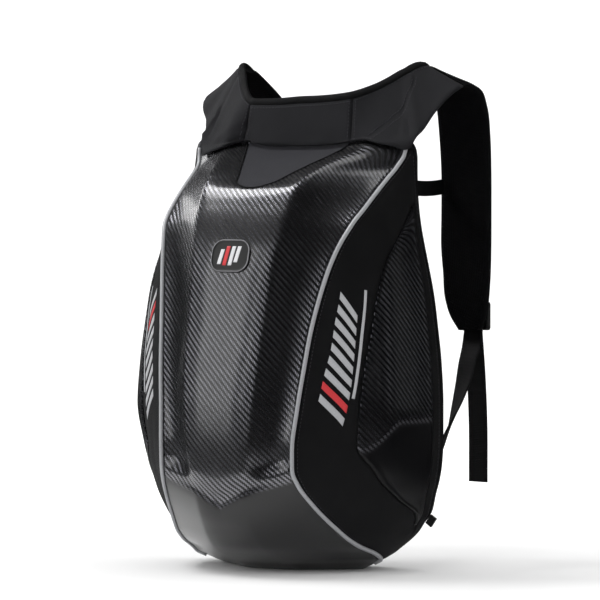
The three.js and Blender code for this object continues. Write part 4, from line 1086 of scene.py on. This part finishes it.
def yoke_relief(place, share):
    """Folds of the yoke: slack ripples that grow to the lower edge."""
    a, b = NECK_LINE.at(place), LOWER_LINE.at(place)
    point, width = a.lerp(b, share), (b - a).length
    slack = smoothstep(share, 0.35, 1.0)
    ripple = noise.noise(point * 0.035) * 1.6 * slack + noise.noise(point * 0.012) * 1.5
    ripple += noise.noise(point * 0.085) * 0.8 * smoothstep(share, 0.82, 1.0)
    groove = 0
    for first, last, depth, reach in YOKE_SEAMS:
        start, way = Vector(first), Vector(last) - Vector(first)
        start, way = Vector((start.x, start.y * width)), Vector((way.x, way.y * width))
        spot = Vector((place - KNOTS[FOOT], share * width)) - start
        along = min(1, max(0, spot.dot(way) / way.length_squared))
        groove = max(groove, depth * math.exp(-((spot - way * along).length / reach) ** 2))
    turned = smoothstep((share - 0.66) * width + (place - KNOTS[FOOT] + 60) * 0.55, 0, 14)
    groove += TURNED_HEM * turned * smoothstep(KNOTS[FOOT] - 58 - place, 0, 8)
    return ripple - groove


for first, last, name in ((knot(-1, YOKE_HALF), knot(1, YOKE_HALF), "yoke_centre"),
                          (knot(1, YOKE_HALF), knot(1, SHOULDER), "yoke_wing_right"),
                          (knot(-1, SHOULDER), knot(-1, YOKE_HALF), "yoke_wing_left")):
    soft_band(name + "_neoprene", first + GAP / 2, last - GAP / 2, lambda place: YOKE_THICKNESS,
              NEOPRENE, name, "neoprene", beside_neck, relief=yoke_relief, lie=True, sides=56)

neck_points = []
neck_ups = []
neck_first, neck_last = knot(-1, SHOULDER) - 16, knot(1, SHOULDER) + 16
for k in range(121):
    a, b, normal = chain_at(lerp(neck_first, neck_last, k / 120))
    neck_points.append(a + (b - a).normalized() * NECK_BINDING_WIDTH / 2)
    neck_ups.append(normal)
neck_line = Line(neck_points)
neck_up = Line(neck_ups, neck_line.knots)


def binding_end(place):
    """The binding thins out where it is sewn under the straps."""
    return 0.3 + 0.7 * min(1, min(place, neck_line.length - place) / 18) ** 0.5


def binding_radii(place):
    """Half width and half height of the neck binding, a little uneven as folded tape is."""
    high = 2.6 + 0.7 * noise.noise(Vector((place * 0.09, 4, 0)))
    return 4.1 * binding_end(place), high * binding_end(place)


tube("neck_binding_tape", neck_line, binding_radii, lambda place: neck_up.at(place).normalized(),
     BINDING, "neck_binding", sides=16)


def strap_thickness(side):
    start, full = knot(side, SHOULDER), knot(side, SHOULDER + 2)
    return lambda place: lerp(YOKE_THICKNESS, STRAP_THICKNESS,
                              smoothstep(abs(place - start), 0, abs(full - start)))


rim_mark = {"rim": lambda share: float(share < 0.07 or share > 0.93)}
for side, name in SIDES:
    near, far = knot(side, SHOULDER), knot(side, FOOT)
    start = near + side * GAP / 2
    soft_band("strap_" + name + "_pad", *((start, far) if side > 0 else (far, start)),
              strap_thickness(side), PAD_MESH, "strap_" + name, "spacer_mesh",
              lambda place: beside_neck(place) * (1 - smoothstep(abs(place - near), 0, 14)),
              fill=0.7, crown=10, marks=rim_mark)


# ---------------------------------------------------------------- webbing

def webbing(node, rows, width=WEBBING_WIDTH):
    """Flat webbing in place of a node, through [middle, way across] rows."""
    middle = Line([row[0] for row in rows])
    across = Line([row[1] for row in rows], middle.knots)
    along = max(6, round(middle.length / 3))

    def point(i, j):
        place = middle.length * j / along
        way = across.at(place).normalized()
        normal = way.cross(middle.along(place)).normalized()
        share, height = pad_ring((i % 16) / 16, 30)
        return middle.at(place) + way * (share - 0.5) * width + normal * height * WEBBING_THICKNESS / 2

    bm = sewn_grid(16, along, point, origin=(0.25, 0))
    finish_piece(node + "_webbing", bm, WEBBING, node, closed=True)


OUTER_FACE = STRAP_THICKNESS / 2 + GAP
ADJUSTER = [(0, 0), (0.13, 0.06), (0.27, 0.18), (0.42, 0.28), (0.60, 0.44), (0.75, 0.60), (0.88, 0.79),
            (1, 1)]
ANCHOR_HEIGHT, ANCHOR_SPREAD, ANCHOR_TILT, ADJUSTER_TURN = 118, 148, 75, 1.2
TAIL_LENGTH, TAIL_BOW, TAIL_LEAN = 150, 4, 6
STABILISER_HEIGHT, STABILISER_SAG, STABILISER_WIDTH = 369, 1, 15
for side, name in SIDES:
    a, b = strap_row(side, STRAP[-1])
    middle, across = (a + b) / 2, (b - a).normalized()
    start = middle + Vector((0, OUTER_FACE + BUCKLE_THICKNESS * 0.25, -GAP))
    end = at(side * ANCHOR_SPREAD, -REAR, ANCHOR_HEIGHT)
    tilt = math.radians(ANCHOR_TILT)
    sewn = Vector((side * math.cos(tilt), 0, math.sin(tilt)))
    rows = [(Vector((lerp(start.x, end.x, run), lerp(start.y, end.y, run), lerp(start.z, end.z, fall))),
             across.lerp(sewn, min(1, run * ADJUSTER_TURN)).normalized()) for fall, run in ADJUSTER]
    webbing("adjuster_" + name, rows)
    top = middle + Vector((-side * 2, OUTER_FACE + BUCKLE_THICKNESS * 0.75, -GAP))
    rows = [(top + Vector((side * TAIL_LEAN * share, TAIL_BOW * math.sin(share * math.pi),
                           -TAIL_LENGTH * share)), across) for share in (0, 0.3, 0.6, 1)]
    webbing("tail_" + name, rows)
    row = next(k for k, values in enumerate(SECTIONS) if values[0] * HEIGHT >= STABILISER_HEIGHT)
    start = at(side * (SECTIONS[row][1] * HALF - BINDING_RADIUS), -REAR, STABILISER_HEIGHT)
    a, b = strap_row(side, STRAP[4])
    end = a.lerp(b, 0.1)
    end.y -= STRAP_THICKNESS / 2 + 4 * GAP
    end.z = STABILISER_HEIGHT
    rows = [(start.lerp(end, share) - Vector((0, 0, STABILISER_SAG * math.sin(share * math.pi))),
             Vector((0, 0, 1))) for share in (0, 0.33, 0.66, 1)]
    webbing("stabiliser_" + name, rows, STABILISER_WIDTH)


# ---------------------------------------------------------------- stitches

def surface_of(*names):
    """One search tree over the meshes of some pieces, in millimetres."""
    points, faces = [], []
    for name in names:
        mesh = PIECES[name].data
        first = len(points)
        faces += [[first + k for k in face.vertices] for face in mesh.polygons]
        points += [vert.co / MM for vert in mesh.vertices]
    return BVHTree.FromPolygons(points, faces)


STITCH_PITCH, STITCH_LENGTH, THREAD_WIDTH = 3.6, 2.5, 0.8  # as coarse as shows in the render


def stitches(name, points, surface):
    """A row of sewing stitches, each a small rounded thread half sunk in the cloth."""
    line = Line(points)
    bm = bmesh.new()
    size = Matrix.Diagonal((THREAD_WIDTH / 2 * MM, THREAD_WIDTH / 2 * MM, STITCH_LENGTH / 2 * MM, 1))
    for k in range(int(line.length / STITCH_PITCH)):
        place = (k + 0.5) * STITCH_PITCH
        spot = surface.find_nearest(line.at(place))[0]
        turn = line.along(place).to_track_quat("Z", "Y").to_matrix().to_4x4()
        bmesh.ops.create_uvsphere(bm, u_segments=6, v_segments=5, radius=1,
                                  matrix=Matrix.Translation(spot * MM) @ turn @ size)
    finish_piece("stitches_" + name, bm, THREAD, None)


def above_chain(place, share, lift=YOKE_THICKNESS):
    """A point over the yoke or a strap."""
    a, b, normal = chain_at(place)
    return a.lerp(b, share) + normal * lift


def chain_row(first, last, share, lift):
    """Points along the yoke or a strap; share(place) says how far across."""
    count = max(2, round(abs(last - first) / 6))
    places = [lerp(first, last, k / count) for k in range(count + 1)]
    return [above_chain(place, share(place), lift) for place in places]


def seam_row(seam, beside):
    """Points beside a seam of the yoke, the given millimetres further along it."""
    (start, low), (end, high) = seam[:2]
    return [above_chain(KNOTS[FOOT] + lerp(start, end, k / 12) + beside, lerp(low, high, k / 12))
            for k in range(13)]


YOKE_SURFACE = surface_of("yoke_centre_neoprene", "yoke_wing_left_neoprene", "yoke_wing_right_neoprene")
stitches("neck", chain_row(knot(-1, SHOULDER) + 3, knot(1, SHOULDER) - 3,
                           lambda place: beside_neck(place) * 1.5, YOKE_THICKNESS), YOKE_SURFACE)
for side, name in SIDES:
    for k, beside in enumerate((-3.2, 3.2)):
        seam = [above_chain(knot(side, YOKE_HALF) + beside, lerp(0.2, 0.95, step / 10))
                for step in range(11)]
        stitches(f"yoke_{name}_{k + 1}", seam, YOKE_SURFACE)
    start, end = knot(side, SHOULDER) + side * 16, knot(side, FOOT) - side * 8
    pad = surface_of("strap_" + name + "_pad")
    for k, share in enumerate((0.1, 0.9)):
        stitches(f"strap_{name}_{k + 1}", chain_row(start, end, lambda place: share, STRAP_THICKNESS), pad)
    cloth = surface_of("side_panel_" + name + "_cloth")
    stitches("panel_" + name, [body(row, side * shift(row, PIPING, 5.5)) for row in SIDE_ROWS[3:-3]], cloth)
    cloth = surface_of("gusset_" + name + "_cloth")
    stitches("gusset_" + name, [body(row, side * lerp(gusset_station(row), rear_station(row), 0.72))
                                for row in GUSSET_ROWS[2:-2]], cloth)
for k, beside in enumerate((-3.0, 3.0)):
    stitches(f"yoke_slant_{k + 1}", seam_row(YOKE_SEAMS[0], beside), YOKE_SURFACE)


# ---------------------------------------------------------------- emblem plate and side prints

EMBLEM_WIDTH, EMBLEM_HEIGHT, EMBLEM_CENTRE, EMBLEM_CORNER = 42, 31, 305, 12
EMBLEM_CELLS = (40, 28)


def front_skin(x, z):
    hit, normal, _, _ = SKIN.ray_cast(Vector((x, -400, z)), Vector((0, 1, 0)))
    return hit, normal if normal.y < 0 else -normal


def emblem_point(i, j):
    """A rounded rectangle wrapped on the plateau, with a raised rim and a sunk field."""
    u, v = 2 * i / EMBLEM_CELLS[0] - 1, 2 * j / EMBLEM_CELLS[1] - 1
    u, v = math.sin(u * math.pi / 2), math.sin(v * math.pi / 2)
    half_w, half_h = EMBLEM_WIDTH / 2, EMBLEM_HEIGHT / 2
    x, z = u * half_w, v * half_h
    over_x, over_z = abs(x) - (half_w - EMBLEM_CORNER), abs(z) - (half_h - EMBLEM_CORNER)
    if over_x > 0 and over_z > 0:
        far = max(over_x, over_z)
        length = math.hypot(over_x, over_z)
        scale = far / length
        x = math.copysign(half_w - EMBLEM_CORNER + over_x * scale, x)
        z = math.copysign(half_h - EMBLEM_CORNER + over_z * scale, z)
        border = EMBLEM_CORNER - far
    else:
        border = min(half_w - abs(x), half_h - abs(z))
    hit, normal = front_skin(x, EMBLEM_CENTRE + z)
    lift = 0.5 + 1.9 * smoothstep(border, -0.6, 0.9) - 0.7 * smoothstep(border, 1.6, 2.4)
    return hit + normal * lift


def emblem_line(i, j):
    """The pale printed line just inside the plate's edge."""
    x = abs(math.sin((2 * i / EMBLEM_CELLS[0] - 1) * math.pi / 2))
    z = abs(math.sin((2 * j / EMBLEM_CELLS[1] - 1) * math.pi / 2))
    border = min((1 - x) * EMBLEM_WIDTH, (1 - z) * EMBLEM_HEIGHT) / 2
    return float(0.5 < border < 1.4)


bm = sewn_grid(*EMBLEM_CELLS, emblem_point, marks={"rim": emblem_line})
finish_piece("emblem_plate_badge", bm, BADGE, "emblem_plate", wall=0.6)


def bar(name, corners, surface, material, lift, cells):
    """A thin flat bar laid on a surface between four corners given in the surface's places."""
    a, b, c, d = [Vector((*corner, 0)) for corner in corners]

    def point(i, j):
        u, v = i / cells[0], j / cells[1]
        spot = a.lerp(b, u).lerp(d.lerp(c, u), v)
        place, normal = surface(spot.x, spot.y)
        return place + normal * lift

    finish_piece(name, sewn_grid(*cells, point), material, None, wall=0.25)


# Plain slanted bars on the badge, where a mark would sit
for k, (x, low, high, vinyl) in enumerate(((-10, -8, 6, WHITE_VINYL), (-4, -9, 9, RED_VINYL),
                                            (2, -9, 9, WHITE_VINYL), (8, -6, 9, WHITE_VINYL))):
    bar(f"badge_bar_{k + 1}", [(x - 3.2, EMBLEM_CENTRE + low), (x + 0.8, EMBLEM_CENTRE + low),
                               (x + 3.6, EMBLEM_CENTRE + high), (x - 0.4, EMBLEM_CENTRE + high)],
        front_skin, vinyl, 1.75, cells=(4, 10))

# Side prints: plain slanted bars across a band with a thin line under them, bottom to top
PRINT_BAND = [(134.5, 167.0), (119.7, 143.0), (101.5, 252.6), (111.5, 275.5)]
PRINT_LINE = [(113.5, 171.0), (93.3, 273.4)]
PRINT_BARS = (GREY_VINYL, RED_VINYL, *[GREY_VINYL] * 7)


def side_surface(side, cloth):
    """Places a print point, [out, z] seen from the side, on the cloth of a side."""
    tree = surface_of(cloth)

    def surface(out, z):
        hit, normal, _, _ = tree.ray_cast(Vector((side * 400, BACK_Y - out, z)), Vector((-side, 0, 0)))
        return hit, normal if normal.x * side > 0 else -normal

    return surface


for side, name in SIDES:
    surface = side_surface(side, "side_panel_" + name + "_cloth")
    a, b, c, d = [Vector(corner) for corner in PRINT_BAND]
    for k, vinyl in enumerate(PRINT_BARS):
        place = k if side > 0 else len(PRINT_BARS) - 1 - k
        low, high = (place + 0.14) / len(PRINT_BARS), (place + 0.72) / len(PRINT_BARS)
        corners = [a.lerp(d, low), b.lerp(c, low), b.lerp(c, high), a.lerp(d, high)]
        bar(f"side_print_{name}_{k + 1}", corners if side > 0 else corners[::-1], surface, vinyl, 0.35,
            cells=(12, 4))
    start, end = [Vector(spot) for spot in PRINT_LINE]
    thick = Vector((2.0, 0.6))
    corners = [start, start - thick, end - thick, end]
    bar(f"side_print_{name}_line", corners if side > 0 else corners[::-1], surface, GREY_VINYL, 0.35,
        cells=(3, 40))

# ---------------------------------------------------------------- kept fittings

TAB = moulded_nylon("tab_webbing", "#0d0d0f", 0.8)
for _, name in SIDES:
    for node_name, finish in (("ladder_lock_" + name, NYLON), ("edge_tab_" + name, TAB)):
        fitting = bpy.data.objects[node_name]
        if fitting.material_slots:
            for material_slot in fitting.material_slots:
                material_slot.material = finish
        else:
            fitting.data.materials.append(finish)

# ---------------------------------------------------------------- stage, lights and camera

WALL_GLOW, FLOOR_GLOW = 0.22, 0.26
FLOOR_RADIUS, FLOOR_PLACE, ROOM_RADIUS = 0.42, (-0.13, -0.05, 0), 9


def stage_paper(name, glow, near, shade="#f6f6f6"):
    """Seamless studio paper, pale; its glow grows from the "near" share at the bag, where the paper is
    painted a shade deeper, as painted shade round the bag."""
    made, tree, shader = material(name, {"Roughness": 0.9, "Emission Strength": glow,
                                         "Specular IOR Level": 0.1})
    away = add(tree, "VectorMath", {0: add(tree, "TexCoord", out="Object")}, out=1, operation="LENGTH")
    away = add(tree, "MapRange", {"Value": away, 1: 0.3, 2: 1.2, 3: near, 4: 1.0})
    glowing = add(tree, "Mix", {0: away, 6: srgb("#000000"), 7: srgb("#ffffff")}, out=2, data_type="RGBA")
    fibre = add(tree, "TexNoise", {"Vector": add(tree, "TexCoord", out="Object"), "Scale": 30.0})
    tone = add(tree, "Mix", {0: fibre, 6: srgb("#f4f4f4"), 7: srgb("#fafafa")}, out=2, data_type="RGBA")
    # painted shade: near the bag the paper takes the deeper shade
    tone = add(tree, "Mix", {0: away, 6: srgb(shade), 7: tone}, out=2, data_type="RGBA")
    wire(shader, {"Base Color": tone, "Emission Color": glowing})
    return made


def prop(name, bm, paper, glossy):
    """Hangs a piece of the stage; only the paper round the bag shows in glossy surfaces."""
    mesh = bpy.data.meshes.new(name)
    bm.to_mesh(mesh)
    bm.free()
    mesh.materials.append(paper)
    made = bpy.data.objects.new(name, mesh)
    bpy.context.scene.collection.objects.link(made)
    made.visible_glossy = glossy


# The floor paper is painted darker near the bag, as painted shade round it
FLOOR_PAPER = stage_paper("studio_paper_floor", FLOOR_GLOW, 0.0, "#dfdfdf")
bm = bmesh.new()
bmesh.ops.create_circle(bm, cap_ends=True, segments=96, radius=FLOOR_RADIUS,
                        matrix=Matrix.Translation(FLOOR_PLACE))
prop("studio_floor", bm, FLOOR_PAPER, True)
bm = bmesh.new()
for radius, place in ((FLOOR_RADIUS, FLOOR_PLACE), (ROOM_RADIUS, (0, 0, 0))):
    bmesh.ops.create_circle(bm, segments=96, radius=radius, matrix=Matrix.Translation(place))
bmesh.ops.bridge_loops(bm, edges=bm.edges[:])
bmesh.ops.recalc_face_normals(bm, faces=bm.faces[:])
prop("studio_floor_beyond", bm, FLOOR_PAPER, False)
bm = bmesh.new()
bmesh.ops.create_uvsphere(bm, u_segments=64, v_segments=32, radius=ROOM_RADIUS)
bmesh.ops.reverse_faces(bm, faces=bm.faces[:])
prop("studio_wall", bm, stage_paper("studio_paper_wall", WALL_GLOW, 1.0), False)


# Softboxes turned to the bag: place and size in metres, then power in watts
CENTRE_OF_BAG = Vector((0, -0.05, 0.22))
SOFTBOXES = {
    "front_left_softbox": ((-1.15, -1.9, 0.84), (0.9, 1.5), 12.5),
    "top_left_softbox": ((-1.2, -0.25, 2.1), (0.9, 0.9), 28),
    "top_back_softbox": ((0.35, 0.5, 2.2), (0.6, 0.6), 4),
    "left_back_softbox": ((-1.9, 0.85, 0.75), (0.5, 0.9), 4.5),
    "ridge_strip_right": ((-0.52, -2.15, 0.9), (0.1, 1.3), 1.0),
    "right_back_softbox": ((1.8, 1.3, 0.45), (0.5, 0.9), 1.1),
    "right_strip": ((2.0, -0.8, 0.65), (0.15, 0.8), 0.5),
}
for name, (place, size, power) in SOFTBOXES.items():
    lamp = bpy.data.lights.new(name, "AREA")
    lamp.shape, lamp.size, lamp.size_y = "RECTANGLE", *size
    lamp.energy = power
    light = bpy.data.objects.new(name, lamp)
    light.location = place
    light.rotation_euler = (CENTRE_OF_BAG - Vector(place)).to_track_quat("-Z", "Y").to_euler()
    bpy.context.scene.collection.objects.link(light)

world = bpy.data.worlds.new("studio")
world.use_nodes = True
wire(world.node_tree.nodes["Background"], {0: srgb("#d0d0d4"), 1: 0.03})
bpy.context.scene.world = world
bpy.context.scene.view_settings.view_transform = "Standard"

CAMERA_TURN, CAMERA_DROP = math.radians(30), math.atan(0.036)
camera_data = bpy.data.cameras.new("camera")
camera_data.lens, camera_data.sensor_width = 300, 36
camera_data.clip_start, camera_data.clip_end = 0.1, 40
camera = bpy.data.objects.new("camera", camera_data)
look = Vector((-math.sin(CAMERA_TURN) * math.cos(CAMERA_DROP),
               math.cos(CAMERA_TURN) * math.cos(CAMERA_DROP), -math.sin(CAMERA_DROP)))
camera.location = (2.4402, -4.2125, 0.4348)
camera.rotation_euler = look.to_track_quat("-Z", "Y").to_euler()
bpy.context.scene.collection.objects.link(camera)
bpy.context.scene.camera = camera

bpy.context.view_layer.update()
